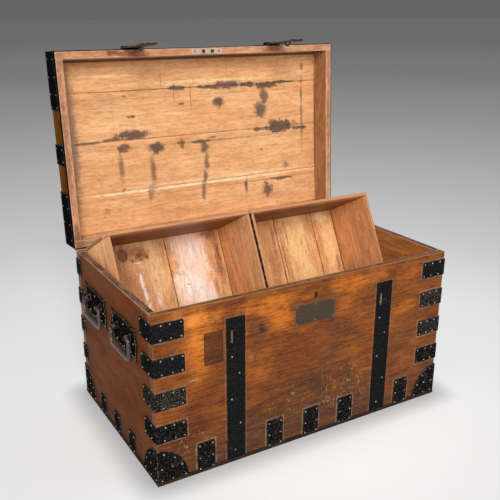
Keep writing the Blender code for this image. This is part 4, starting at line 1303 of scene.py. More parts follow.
END_FEET = FootPlates(
    width=0.053,
    height=0.092,
    places=(-0.34378, -0.1246, 0.0, 0.1246, 0.34378),
    rounds=((0.012, 0.005), (0.006, 0.008)),
    nail_rows=(0.012, 0.045, 0.083),
    nail_inset=0.0072,
    state=IronState.PITTED,
    seed=300,
    seed_step=7,
)
SIDE_FEET = FootPlates(
    width=0.044,
    height=0.068,
    places=(-0.109, 0.0075, 0.124),
    rounds=((0.005, 0.005), (0.005, 0.005)),
    nail_rows=(0.012, 0.059),
    nail_inset=0.0062,
    state=IronState.BLACK,
    seed=500,
    seed_step=5,
)


@dataclass
class CarcaseIron:
    """The angle plates, corner caps, foot plates and straps nailed on the carcase."""

    shop: Workshop
    edge_count: int = 4
    edge_height: float = 0.051
    edge_first: float = 0.1285
    edge_pitch: float = 0.0955
    front_leg: float = 0.086
    side_leg: float = 0.071
    rear_side_leg: float = 0.038
    cap: Triple = (0.089, 0.093, 0.104)
    flange: float = 0.018
    foot_strip: Pair = (0.0036, 0.0095)
    strip_foot: float = 0.0002
    strap_top: float = 0.4365
    over: float = 0.02
    bend: float = 0.0035
    inset: float = 0.0062
    plate_runs: Pair = (0.036, 0.064)
    side_share: float = 0.42
    drift: float = 0.003
    cap_turns: Sequence[float] = (8.0, 30.0, 52.0, 76.0)
    cap_insets: Pair = (0.007, 0.008)
    cap_shares: Pair = (0.14, 0.48)
    cap_heights: Pair = (0.014, 0.05)
    strap_round: float = 0.002
    strap_pitch: float = 0.03
    front_nails: Sequence[Pair] = (
        (-0.45, 0.325), (0.35, 0.272), (-0.5, 0.198), (0.45, 0.118), (-0.15, 0.037)
    )
    rear_nails: Sequence[Pair] = (
        (-0.5, 0.44), (0.5, 0.36), (-0.5, 0.27), (0.5, 0.18), (-0.5, 0.10), (0.3, 0.03)
    )
    strap_nail: Pair = (0.0029, 0.003)
    arris: float = 0.0016
    strip_arris: float = 0.0009
    strap_arris: float = 0.0007
    lining_arris: float = 0.0002
    body: str = "chest_body"

    def build(self) -> None:
        """Make all the iron of the carcase and its nails."""
        for side in Side:
            for level in range(self.edge_count):
                for end in End:
                    self._edge_plate(side, end, level)
            for end in End:
                self._cap(side, end)
            for index in range(len(SIDE_FEET.places)):
                self._foot(side, SIDE_FEET, index)
            self._front_strap(side)
            self._rear_strap(side)
        for end in End:
            for index in range(len(END_FEET.places)):
                self._foot(end, END_FEET, index)
        self._foot_strips()
        self.shop.drive_nails("carcase_nails", self.body)

    def _plate(self, name: str, shape: Shape, state: IronState, node: str, arris: float = 0.0016) -> None:
        """Finish one plate that stands for a node."""
        materials = self.shop.iron(state)
        self.shop.piece(name, shape, materials, self.body, Slot.IRON, [node], arris=arris, arris_material=1)

    def _foot_strips(self) -> None:
        """The dark strip that runs round the foot of the chest, over the hooked plates: a dark edge carrying
        the painted shade line at the foot.
        """
        proud, top = self.foot_strip
        out_x, out_y = CHEST.side_x + proud, CHEST.end_y + proud
        in_x, in_y = CHEST.side_x + CHEST.gap, CHEST.end_y + CHEST.gap
        foot = self.strip_foot
        runs = {}
        for end in End:
            ys = sorted((end.value * in_y, end.value * out_y))
            runs[end.word] = ((-out_x, ys[0], foot), (out_x, ys[1], top)), Grain.X
        for side in Side:
            xs = sorted((side.value * in_x, side.value * out_x))
            runs[side.word] = ((xs[0], -in_y, foot), (xs[1], in_y, top)), Grain.Y
        for label, (box, grain) in runs.items():
            name = f"{label}_foot_strip"
            material = FOOT_EDGE_SHADE_WOOD.material(f"{name}_wood", grain, box, seed=float(len(label)))
            what = (name, box_shape(*box), [material], self.body)
            self.shop.piece(*what, Slot.SIDE_WOOD, arris=self.strip_arris)

    def _edge_plate(self, side: Side, end: End, level: int) -> None:
        """Make one angle plate up a corner of the carcase.

        Args:
            side: Its side.
            end: Its end.
            level: Its place from the foot.
        """
        reach = CHEST.gap + CHEST.plate
        out_x, out_y = side.value * (CHEST.side_x + reach), end.value * (CHEST.end_y + reach)
        side_leg = self.side_leg if end is End.FRONT else self.rear_side_leg
        start = (side.value * (CHEST.side_x - self.front_leg), out_y)
        line = Bend([start, (out_x, out_y), (out_x, end.value * (CHEST.end_y - side_leg))], self.bend)
        line = line.turned((side.value, end.value), line.length / 2)
        foot = self.edge_first + level * self.edge_pitch
        seed = 11 * level + (side.value + 2) * 101 + (end.value + 2) * 17
        strip = IronStrip(line, "Z", foot, foot + self.edge_height, CHEST.plate, seed=seed)
        state = IronState.BLACK if level > 1 else IronState.PITTED
        if (side, level) in ((Side.RIGHT, 2), (Side.RIGHT, 1), (Side.LEFT, 1)):
            state = IronState.WORN
        node = f"front_{side.word}_edge_plate_{level + 1}" if end is End.FRONT else "rear_board"
        self._plate(f"{end.word}_{side.word}_angle_{level + 1}", strip.shape(), state, node)
        flipped = line.corners[0] != start
        around = self.front_leg + side_leg * self.side_share
        for run in (self.inset + 0.001, *self.plate_runs, around, line.length - self.inset):
            place = line.length - run if flipped else run
            for across in (foot + self.inset, foot + self.edge_height - self.inset):
                drift = self.shop.dice.uniform(-self.drift, self.drift)
                self._nail(strip.spot(place + drift, across), strip.normal(place + drift))

    def _nail(self, spot: Vector | Triple, normal: Vector, radius: float = 0.0027) -> None:
        """Note one nail of the carcase."""
        self.shop.nail("carcase_nails", Vector(spot), normal, radius)

    def _cap(self, side: Side, end: End) -> None:
        """Make one three-way cap, with nails along its round edge and by its corner.

        Args:
            side: Its side.
            end: Its end.
        """
        node = f"{end.word}_{side.word}_corner_cap"
        self.shop.refine(node, self.shop.iron(IronState.PITTED), self.body, Slot.IRON, self.arris)
        reach = CHEST.gap + CHEST.plate
        corner = outward(side) * (CHEST.side_x + reach) + endward(end) * (CHEST.end_y + reach)
        legs = ((-outward(side), self.cap[0], endward(end)), (-endward(end), self.cap[1], outward(side)))
        turns = [math.radians(turn) for turn in self.cap_turns]
        aside, below = self.cap_insets
        spots = [(math.cos(turn), aside, (self.cap[2] - below) * math.sin(turn)) for turn in turns]
        spots += [(share, 0.0, height) for share in self.cap_shares for height in self.cap_heights]
        for share, inset, height in spots:
            for way, leg, normal in legs:
                self._nail(corner + way * ((leg - inset) * share) + Vector((0.0, 0.0, height)), normal)

    def _hooked(
        self, wall: Side | End, middle: float, thick: float, sizes: Pair, rounds: Pair, **how: float
    ) -> Shape:
        """Make a plate on a wall that hooks under it.

        Args:
            wall: The wall.
            middle: The plate's middle along the wall.
            thick: Its thickness.
            sizes: Its width and its height.
            rounds: The radii of its upper corners.
            how: The seed of its uneven edges, and how closely it is sampled.

        Returns:
            The plate.
        """
        width, top = sizes
        reach, axis = (CHEST.end_y, "X") if isinstance(wall, End) else (CHEST.side_x, "Y")
        out = wall.value * (reach + CHEST.gap + thick)
        line = Bend([(out, top), (out, 0.0), (wall.value * (reach - self.flange), 0.0)], self.bend)
        line = line.turned((wall.value, 0.0), top / 2)
        ends = (*rounds, 0.0, 0.0) if line.corners[0][1] > 0.0 else (0.0, 0.0, *rounds)
        return IronStrip(line, axis, middle - width / 2, middle + width / 2, thick, ends, **how).shape()

    def _foot(self, wall: Side | End, feet: FootPlates, index: int) -> None:
        """Make one hooked plate along the foot of a wall.

        Args:
            wall: The wall.
            feet: The sizes of its plates.
            index: The plate's place in the row.
        """
        middle = feet.places[index]
        seed = feet.seed + index * feet.seed_step + wall.value
        sizes = (feet.width, feet.height)
        shape = self._hooked(wall, middle, CHEST.plate, sizes, feet.rounds[index % 2], seed=seed)
        self._plate(f"{wall.word}_foot_plate_{index + 1}", shape, feet.state, f"{wall.word}_board")
        at_end = isinstance(wall, End)
        face = wall.value * ((CHEST.end_y if at_end else CHEST.side_x) + CHEST.gap + CHEST.plate)
        for row in feet.nail_rows:
            for across in (-1, 1):
                along = middle + across * (feet.width / 2 - feet.nail_inset)
                if at_end:
                    self._nail((along, face, row), endward(wall))
                else:
                    self._nail((face, along, row), outward(wall))

    def _front_strap(self, side: Side) -> None:
        """Make one front strap with its slot, the slot's bright lining and its key hole.

        Args:
            side: The strap's side.
        """
        middle = side.value * CHEST.strap_x
        sizes = (CHEST.strap_width, self.strap_top)
        how = {"pitch": self.strap_pitch, "seed": 40 + side.value}
        strap = self._hooked(End.FRONT, middle, CHEST.strap, sizes, (self.strap_round,) * 2, **how)
        start, end = -CHEST.end_y - self.over, -CHEST.end_y + self.over / 2
        key = circle((middle + STRAP_SLOT.key_offset, STRAP_SLOT.key_z), STRAP_SLOT.key_radius, 12)
        shape = carve(strap, [STRAP_SLOT.shape(side, start, end), prism_shape(key, "Y", start, end)])
        name = f"{side.word}_front_strap"
        self._plate(f"{name}_worked", shape, IronState.STRAP, name, self.strap_arris)
        face = -CHEST.end_y - CHEST.gap - CHEST.strap
        edge = middle - STRAP_SLOT.offset + STRAP_SLOT.width / 2
        low, high = STRAP_SLOT.z - STRAP_SLOT.height / 2, STRAP_SLOT.z + STRAP_SLOT.height / 2
        wide, proud, deep = STRAP_SLOT.lining
        lining = box_shape((edge - proud, face - proud, low), (edge + wide, face + deep, high))
        brass = self.shop.metal("slot_lining", SLOT_BRASS)
        what = (f"{side.word}_slot_lining", lining, [brass], self.body)
        self.shop.piece(*what, Slot.STEEL, arris=self.lining_arris)
        for across, height in self.front_nails:
            spot = (middle + across * CHEST.strap_width / 2, face, height)
            self._nail(spot, endward(End.FRONT), self.strap_nail[0])

    def _rear_strap(self, side: Side) -> None:
        """Finish one rear strap with its hinge barrels, and the hinge pin.

        Args:
            side: The strap's side.
        """
        self.shop.refine(f"{side.word}_rear_strap", self.shop.iron(IronState.STRAP), self.body, Slot.IRON)
        self.shop.dress(f"{side.word}_hinge_pin", self.shop.metal("pin_steel", PIN_STEEL))
        face = CHEST.end_y + CHEST.gap + CHEST.strap
        for across, height in self.rear_nails:
            middle = side.value * CHEST.strap_x + across * CHEST.strap_width / 2
            self._nail((middle, face, height), endward(End.REAR), self.strap_nail[1])


@dataclass
class Handles:
    """Four drop handles: cusped cast plates with eyes, and the bails in them."""

    shop: Workshop
    places: Sequence[tuple[End, float]] = ((End.FRONT, -0.10062), (End.REAR, 0.12726))
    axis_z: float = 0.378
    axis_out: float = 0.016
    eye_spacing: float = 0.092
    eye_length: float = 0.011
    shoulder: float = 0.0145
    inner_end: float = 0.004
    bend: float = 0.009
    bend_steps: int = 7
    drop: float = 0.058
    radius: float = 0.0048
    grip: float = 0.0062
    sides: int = 14
    plate_middle: float = -0.012
    plate_face: float = 0.0034
    plate_arris: float = 0.0013
    nail: float = 0.003
    nails: Sequence[Pair] = (
        (-0.068, 0.0), (0.068, 0.0), (0.0, 0.03), (0.0, -0.034), (-0.05, -0.03), (0.05, -0.03)
    )

    def build(self) -> None:
        """Make the plates, their nails and the bails."""
        materials = [self.shop.metal("cast_iron", CAST_IRON), self.shop.metal("iron_rim", IRON_RIM)]
        for side in Side:
            for end, place in self.places:
                name = f"{side.word}_{end.word}"
                plate = f"{name}_handle_plate"
                self.shop.refine(plate, materials, "chest_body", Slot.IRON, self.plate_arris)
                for across, height in self.nails:
                    spot = (place + across, self.axis_z + self.plate_middle + height)
                    spot = Vector((side.value * (CHEST.side_x + self.plate_face), *spot))
                    self.shop.nail("carcase_nails", spot, outward(side), self.nail)
                self._bail(name, side, place)

    def _path(self) -> list[Triple]:
        """The bail's centre line along the side and up, with its radius.

        Returns:
            The line's points.
        """
        half = self.eye_spacing / 2 + self.eye_length / 2 + self.shoulder
        inner = self.eye_spacing / 2 - self.eye_length / 2 - self.inner_end
        points = [(inner, 0.0, self.radius * 0.7), (inner + 0.001, 0.0, self.radius)]
        points.append((self.eye_spacing / 2 + self.eye_length / 2 + 0.0006, 0.0, self.radius))
        centre, steps = half - self.bend, self.bend_steps
        for i in range(steps + 1):
            turn = math.pi / 2 * (1 - i / steps)
            up = self.bend * (math.sin(turn) - 1)
            points.append((centre + self.bend * math.cos(turn), up, self.radius))
        for i in range(steps + 1):
            turn = -math.pi / 2 * i / steps
            up = self.bend * (1 + math.sin(turn)) - self.drop
            thick = self.radius + (self.grip - self.radius) * 0.5 * i / steps
            points.append((centre + self.bend * math.cos(turn), up, thick))
        points.append((half / 2, -self.drop, self.grip * 0.94))
        points.append((half / 4, -self.drop, self.grip))
        return points + [(-along, up, radius) for along, up, radius in reversed(points)]

    def _bail(self, name: str, side: Side, place: float) -> None:
        """Make one bail, swept along its path.

        Args:
            name: The handle's name.
            side: Its side.
            place: Its middle along the side.
        """
        path = self._path()
        rings = []
        for i, (along, up, radius) in enumerate(path):
            before, after = path[max(i - 1, 0)], path[min(i + 1, len(path) - 1)]
            run = Vector((0.0, after[0] - before[0], after[1] - before[1])).normalized()
            across = run.cross(Vector((1.0, 0.0, 0.0)))
            centre = Vector((side.value * (CHEST.side_x + self.axis_out), place + along, self.axis_z + up))
            ring = circle((0.0, 0.0), radius, self.sides)
            rings.append([centre + Vector((x, 0.0, 0.0)) + across * y for x, y in ring])
        iron = self.shop.metal("bail_iron", BAIL_IRON)
        pieces = (f"{name}_bail_worked", loft_shape(rings), [iron], f"{name}_handle")
        self.shop.piece(*pieces, Slot.IRON, [f"{name}_bail"], arris=0.0)


@dataclass
class BoxLock:
    """The lock in the front wall, its keyhole liner, the nameplate and the link plate in the lid."""

    shop: Workshop
    plate_x: float = 0.0034
    plate_z: float = 0.3953
    pins: Pair = (0.062, 0.026)
    pin_out: float = 0.0016
    link_rise: float = 0.0006
    screw_x: float = 0.0427
    screw_radius: float = 0.0036
    screw_rise: Pair = (0.0004, 0.001)
    groove: Triple = (0.0005, 0.006, 0.001)
    groove_turn: Pair = (0.5, -0.3)
    plate_arris: float = 0.0005
    link_arris: float = 0.0003
    pin: float = 0.0017

    @property
    def seat(self) -> float:
        """The underside of the front rail in the lid's drawing."""
        return CHEST.rim_z - LID_POSE.origin[2]

    def build(self) -> None:
        """Finish the lock's nodes and add the screws of the link plate."""
        self.shop.dress("lock_case", self.shop.metal("lock_steel", LOCK_STEEL))
        dark = self.shop.metal("pin_steel", PIN_STEEL)
        for node in ("lock_bolt", "keyhole_escutcheon"):
            self.shop.dress(node, dark)
        plate = [self.shop.metal("bronze", BRONZE), self.shop.metal("bronze_rim", BRONZE_RIM)]
        self.shop.refine("nameplate", plate, "chest_body", Slot.BRONZE, self.plate_arris)

        def pick(_: Vector, middle: Vector) -> int:
            """Dark iron on the links, which stand out of the plate."""
            return 1 if middle.z < self.seat - self.link_rise else 0

        shape = moved_shape(node_shape("link_plate"), LID_POSE.matrix().inverted())
        finishes = [self.shop.metal("bright_steel", STEEL), dark]
        what = ("link_plate_worked", shape, finishes, "lid")
        self.shop.piece(*what, Slot.STEEL, ["link_plate"], LID_POSE, self.link_arris, pick=pick)
        face = -CHEST.end_y - CHEST.gap - self.pin_out
        for across in (-self.pins[0], self.pins[0]):
            for height in (-self.pins[1], self.pins[1]):
                spot = Vector((self.plate_x + across, face, self.plate_z + height))
                self.shop.nail("nameplate_pins", spot, endward(End.FRONT), self.pin)
        self.shop.drive_nails("nameplate_pins", "chest_body")
        for side, turn in zip(Side, self.groove_turn):
            self._screw(side, turn)

    def _screw(self, side: Side, turn: float) -> None:
        """Make a slotted countersunk screw in the link plate.

        Args:
            side: Its side.
            turn: How far its slot is turned.
        """
        middle = (side.value * self.screw_x, -CHEST.end_y + CHEST.board / 2 - LID_POSE.origin[1])
        outline = circle(middle, self.screw_radius, 16)
        head = prism_shape(outline, "Z", self.seat - self.screw_rise[0], self.seat + self.screw_rise[1])
        wide, long, deep = self.groove
        place = Matrix.Translation((*middle, self.seat)) @ Matrix.Rotation(turn, 4, "Z")
        groove = moved_shape(box_shape((-wide, -long, -deep), (wide, long, 0.0)), place)
        steel = self.shop.metal("lock_steel", LOCK_STEEL)
        what = (f"link_plate_screw_{side.word}", carve(head, [groove]), [steel])
        self.shop.piece(*what, "lid", Slot.STEEL, pose=LID_POSE, arris=0.0)


@dataclass
class Lid:
    """The lid: four rails, the beaded boards, its iron and the hasps. Drawn shut, from the hinge axis."""

    shop: Workshop
    joint_shares: Sequence[float] = (0.246, 0.526, 0.789)
    bead: float = 0.025
    bead_steps: int = 6
    quirk: float = 0.0022
    bead_out: float = 0.0072
    bead_rise: float = 0.011
    bead_room: float = 0.001
    recess_width: float = 0.110
    recess_depth: float = 0.017
    recess: float = 0.0025
    over: float = 0.004
    edge_leads: Sequence[float] = (0.02, 0.07, 0.12, 0.157)
    top_leads: Sequence[Pair] = (
        (0.012, 0.012), (0.012, 0.11), (0.11, 0.012), (0.05, 0.05), (0.012, 0.06), (0.06, 0.012)
    )
    strap_places: Sequence[float] = (-0.25, -0.17, -0.08, 0.0, 0.08, 0.17, 0.25)
    row_insets: Pair = (0.022, 0.008)
    strap_inset: float = 0.014
    side_strap: Triple = (0.0089, 0.018, 0.05)
    nail: float = 0.0023
    rail_arris: float = 0.001
    bead_arris: float = 0.0018
    board_arris: float = 0.0004
    strip_arris: float = 0.0003
    hasp_arris: float = 0.0005
    body: str = "lid"

    @property
    def top(self) -> float:
        """The top of the boards in the shut lid."""
        return CHEST.rim_z + CHEST.lid_height

    def build(self) -> None:
        """Make the lid."""
        self._rails()
        self._boards()
        self._iron()
        self._nails()
        hasp = [self.shop.metal("hasp_iron", HASP_IRON), self.shop.metal("iron_rim", IRON_RIM)]
        for side in Side:
            name = f"{side.word}_hasp"
            self.shop.refine(name, hasp, f"{name}_leaf", Slot.IRON, self.hasp_arris)
        self.shop.drive_nails("lid_nails", self.body)

    @staticmethod
    def _drawn(point: Triple) -> Triple:
        """A point of the shut lid, measured from the hinge axis."""
        return (point[0], point[1] - LID_POSE.origin[1], point[2] - LID_POSE.origin[2])

    def _rail(self, name: str, box: Box, grain: Grain, out: Vector, cutters: Sequence[Shape] = ()) -> None:
        """Make one rail: varnish outside, bare pine on the rim and inside.

        Args:
            name: The node that it stands for.
            box: Its low and high corners, in the shut lid.
            grain: The axis of its grain.
            out: The direction out of it.
            cutters: What is let into it.
        """
        box = self._drawn(box[0]), self._drawn(box[1])
        seed = 20.0 + len(name)
        finishes = [
            LID_OUTER.material(f"{name}_varnish", grain, box, LID_POSE, seed),
            RAIL_PINE.material(f"{name}_pine", grain, box, LID_POSE, seed + 1.0, RAIL_SHADE_MARKS),
            LID_RIM.material(f"{name}_rim", grain, box, LID_POSE, seed + 2.0, RIM_MARKS),
        ]

        def pick(normal: Vector, _: Vector) -> int:
            """Varnish on the outer face, worn wood on the rim."""
            return 0 if normal.dot(out) > FACING else 2 if normal.z < -FACING else 1

        what = (f"{name}_worked", carve(box_shape(*box), cutters), finishes, self.body)
        self.shop.piece(*what, Slot.FRONT_WOOD, [name], LID_POSE, self.rail_arris, pick=pick)

    def _rails(self) -> None:
        """The four rails, the front one let in for the link plate."""
        top, rim, board, gap = CHEST.rail_top - CHEST.gap, CHEST.rim_z, CHEST.board, CHEST.gap
        out_x, out_y = CHEST.side_x, CHEST.end_y
        middle, across, half = -out_y + board / 2, self.recess_width / 2 + gap, self.recess_depth / 2 + gap
        low = self._drawn((-across, middle - half, rim - self.over))
        recess = box_shape(low, self._drawn((across, middle + half, rim + self.recess + gap)))
        front = (-out_x, -out_y, rim), (out_x, -out_y + board, top)
        self._rail("lid_front_rail", front, Grain.X, endward(End.FRONT), [recess])
        rear = (-out_x, out_y - board, rim), (out_x, out_y, top)
        self._rail("lid_rear_rail", rear, Grain.X, endward(End.REAR))
        self._beads()
        for side in Side:
            xs = sorted((side.value * (out_x - board), side.value * out_x))
            reach = out_y - board - gap
            box = (xs[0], -reach, rim), (xs[1], reach, top)
            self._rail(f"lid_{side.word}_rail", box, Grain.Y, outward(side))

    def _beads(self) -> None:
        """The bead behind the lid, between the hinge straps, that closes the slit by the open lid."""
        half = CHEST.strap_width / 2 + self.bead_room
        reach, beyond = CHEST.strap_x - half, CHEST.strap_x + half
        for i, (start, end) in enumerate(((-CHEST.side_x, -beyond), (-reach, reach), (beyond, CHEST.side_x))):
            low = self._drawn((start, CHEST.end_y + CHEST.gap, CHEST.rim_z + CHEST.gap))
            high = self._drawn((end, CHEST.end_y + self.bead_out, CHEST.rim_z + self.bead_rise))
            name = f"lid_bead_{i + 1}"
            material = LID_OUTER.material(f"{name}_varnish", Grain.X, (low, high), LID_POSE, 3.0 + i)
            what = (name, box_shape(low, high), [material], self.body)
            self.shop.piece(*what, Slot.SIDE_WOOD, (), LID_POSE, self.bead_arris)

    def _boards(self) -> None:
        """The beaded boards, with a crowned bead by each joint."""
        under, reach = CHEST.rail_top, CHEST.end_y
        outline = [(reach, under)]
        for share in self.joint_shares:
            joint = reach - share * CHEST.depth
            outline.append((joint + self.bead + self.quirk, under))
            for i in range(self.bead_steps + 1):
                part = i / self.bead_steps
                sunk = self.quirk * (1 - math.sin(math.pi * part))
                outline.append((joint + self.bead * (1 - part), under + sunk))
            outline.append((joint - self.quirk, under))
        outline.extend([(-reach, under), (-reach, self.top), (reach, self.top)])
        drawn = [(y - LID_POSE.origin[1], z - LID_POSE.origin[2]) for y, z in outline]
        box = (self._drawn((-CHEST.side_x, -reach, under)), self._drawn((CHEST.side_x, reach, self.top)))
        finishes = [
            LID_PINE.material("lid_boards_pine", Grain.X, box, LID_POSE, 9.0, LID_MARKS),
            LID_OUTER.material("lid_boards_varnish", Grain.X, box, LID_POSE, 12.0),
        ]
        limit = under + self.quirk + CHEST.gap - LID_POSE.origin[2]

        def pick(normal: Vector, middle: Vector) -> int:
            """Bare pine on the faces under the lid."""
            return 1 if middle.z > limit or abs(normal.x) > FACING else 0

        shape = prism_shape(drawn, "X", -CHEST.side_x, CHEST.side_x)
        what = ("lid_boards_worked", shape, finishes, self.body)
        self.shop.piece(*what, Slot.PINE, ["lid_boards"], LID_POSE, self.board_arris, pick=pick)

    def _iron(self) -> None:
        """Straps, brackets, side straps and the strip round the rim."""
        black = self.shop.metal("iron_lid", LID_IRON)
        rim = self.shop.metal("strap_rim", STRAP_RIM)
        for side in Side:
            brackets = [f"lid_{end.word}_{side.word}_bracket" for end in End]
            for node in (f"{side.word}_lid_strap", f"lid_{side.word}_side_strap", *brackets):
                self.shop.refine(node, [black, rim], self.body, Slot.IRON)
            self.shop.dress(f"{side.word}_hasp_pin", self.shop.metal("pin_steel", PIN_STEEL))
        self.shop.refine("lid_edge_strip", [black], self.body, Slot.IRON, self.strip_arris)

    def _nails(self) -> None:
        """The nails of the lid's iron."""
        place = LID_POSE.matrix()
        turn = place.to_3x3()
        proud = CHEST.gap + CHEST.plate
        out_x, out_y, up = CHEST.side_x + proud, CHEST.end_y + proud, Vector((0.0, 0.0, 1.0))

        def drive(point: Triple, normal: Vector) -> None:
            """Note one nail, drawn on the shut lid."""
            self.shop.nail("lid_nails", place @ Vector(self._drawn(point)), turn @ normal, self.nail)

        rows = (CHEST.rim_z + self.row_insets[0], self.top - self.row_insets[1])
        for side in Side:
            for end in End:
                for lead in self.edge_leads:
                    for row in rows:
                        drive((side.value * (CHEST.side_x - lead), end.value * out_y, row), endward(end))
                        drive((side.value * out_x, end.value * (CHEST.end_y - lead), row), outward(side))
                for lead_x, lead_y in self.top_leads:
                    corner = (side.value * (CHEST.side_x - lead_x), end.value * (CHEST.end_y - lead_y))
                    drive((*corner, self.top + proud), up)
            for along in self.strap_places:
                across = self.strap_inset if round(along * 100) % 2 else -self.strap_inset
                drive((side.value * CHEST.strap_x + across, along, self.top + CHEST.gap + CHEST.strap), up)
            middle, half, lead = self.side_strap
            for along in (middle - half, middle + half):
                for row in rows:
                    drive((side.value * out_x, along, row), outward(side))
                drive((side.value * (CHEST.side_x - lead), along, self.top + proud), up)


@dataclass
class Tray:
    """An open pine tray, drawn with its foot edge at the origin and its floor along Y."""

    shop: Workshop
    side: Side
    length: float = 0.530
    depth: float = 0.224
    wall: float = 0.010
    floor: float = 0.008
    middle_gap: float = 0.0065
    side_clearance: float = 0.003
    lean: float = 63.0
    arris: float = 0.0011

    @property
    def name(self) -> str:
        """The tray's body."""
        return f"{self.side.word}_tray"

    @property
    def joints(self) -> Sequence[float]:
        """The edges of the floor boards, as shares of its width."""
        return (0.0, 0.55, 1.0) if self.side is Side.LEFT else (0.0, 0.445, 0.786, 1.0)

    @property
    def pose(self) -> Pose:
        """The tray's place, propped on the rear wall.

        Returns:
            The place of its drawing.
        """
        inner_y = CHEST.end_y - CHEST.board - 2 * CHEST.gap
        foot_y = inner_y - self.length * math.cos(math.radians(self.lean))
        return Pose((0.0, foot_y, CHEST.floor_board + CHEST.gap), self.lean)

    def build(self) -> None:
        """Make the floor boards and the four walls."""
        inner = self.side.value * self.middle_gap / 2
        outer = self.side.value * (CHEST.side_x - CHEST.board - self.side_clearance)
        low_x, high_x = sorted((inner, outer))
        marks = tray_marks(self.side)
        for i, (start, end) in enumerate(zip(self.joints, self.joints[1:])):
            low = (low_x + start * (high_x - low_x) + CHEST.gap, 0.0, 0.0)
            high = (low_x + end * (high_x - low_x) - CHEST.gap, self.length, self.floor)
            self._board(f"floor_board_{i + 1}", (low, high), Grain.Y, i, "floor", marks, TRAY_FLOOR)
        foot, reach = self.floor + CHEST.gap, self.length - self.wall
        upper = (UPPER_SHADE, TOP_SHADE, FOOT_LINE)
        ends = (("lower", 0.0, 10, upper[1:]), ("upper", reach, 9, upper))
        for label, start, seed, shade in ends:
            box = (low_x, start, foot), (high_x, start + self.wall, self.depth)
            self._board(f"{label}_wall", box, Grain.X, seed, "frame", shade)
        shade = (TOP_SHADE, FOOT_LINE, MIDDLE_SHADE)
        for label, start in (("left", low_x), ("right", high_x - self.wall)):
            box = (start, self.wall + CHEST.gap, foot), (start + self.wall, reach - CHEST.gap, self.depth)
            self._board(f"{label}_wall", box, Grain.Y, 9 + len(label), "frame", shade)

    def _board(
        self,
        part: str,
        box: Box,
        grain: Grain,
        seed: float,
        node: str,
        marks: Sequence[Mark],
        finish: Wood = TRAY_WALL,
    ) -> None:
        """Make one pine board of the tray.

        Args:
            part: Its name in the tray.
            box: Its low and high corners, in the tray's drawing.
            grain: The axis of its grain.
            seed: A shift of its figure.
            node: The part of the CAD tray that it stands for.
            marks: Its marks.
            finish: Its finish.
        """
        shift = seed * 1.3 + (10.0 if self.side is Side.RIGHT else 0.0)
        name = f"{self.name}_{part}"
        material = finish.material(f"{name}_pine", grain, box, self.pose, shift, marks)
        what = (name, box_shape(*box), [material], self.name, Slot.PINE)
        self.shop.piece(*what, [f"{self.name}_{node}"], self.pose, self.arris)


# Marks on the boards, placed one by one

GLOW: Colour = (0.53, 0.150, 0.018)
BROWN: Colour = (0.125, 0.040, 0.016)
RED: Colour = (0.19, 0.045, 0.016)
# Darker towards the foot of the front and the rear: the wood's own tone, with painted shade.
LOW_TONE_AND_SHADE: Colour = (0.082, 0.037, 0.018)
GOLD: Colour = (0.80, 0.255, 0.042)
# A very dark band along the foot of the walls: a dark bottom edge with painted shade under the walls.
FOOT_EDGE_AND_SHADE: Colour = (0.010, 0.007, 0.006)
DUST: Colour = (0.30, 0.215, 0.155)
PALE_SCRATCH: Colour = (0.50, 0.30, 0.13)
INK: Colour = (0.052, 0.043, 0.041)
FRONT_Y = -CHEST.end_y
DEEP = 0.05


def front_mark(
    x: float, z: float, wide: float, tall: float, colour: Colour, strength: float,
    kind: MarkKind = MarkKind.BLOT, grain: float = 16.0, soft: float = 0.9, ragged: float = 0.8,
) -> Mark:
    """A mark on the front, by its middle and half sizes."""
    return Mark((x, FRONT_Y, z), (wide, DEEP, tall), colour, strength, soft, ragged, grain, kind)


def plate_frames() -> list[Mark]:
    """The dusty lines on the front round its plates and straps.

    Returns:
        The lines, as marks.
    """
    iron = CarcaseIron
    edge = 0.0028
    marks = []
    for side in Side:
        strap = (side.value * CHEST.strap_x, 0.21, CHEST.strap_width / 2 + edge, 0.2265 + edge)
        marks.append(front_mark(*strap, DUST, 0.3, MarkKind.FRAME))
        for level in range(iron.edge_count):
            middle = side.value * (CHEST.side_x - iron.front_leg / 2)
            height = iron.edge_first + level * iron.edge_pitch + iron.edge_height / 2
            half, tall = iron.front_leg / 2 + edge, iron.edge_height / 2 + edge
            marks.append(front_mark(middle, height, half, tall, DUST, 0.5, MarkKind.FRAME))
    for place in END_FEET.places:
        half = END_FEET.width / 2 + edge
        marks.append(front_mark(place, 0.0, half, END_FEET.height + edge, DUST, 0.6, MarkKind.FRAME))
    return marks


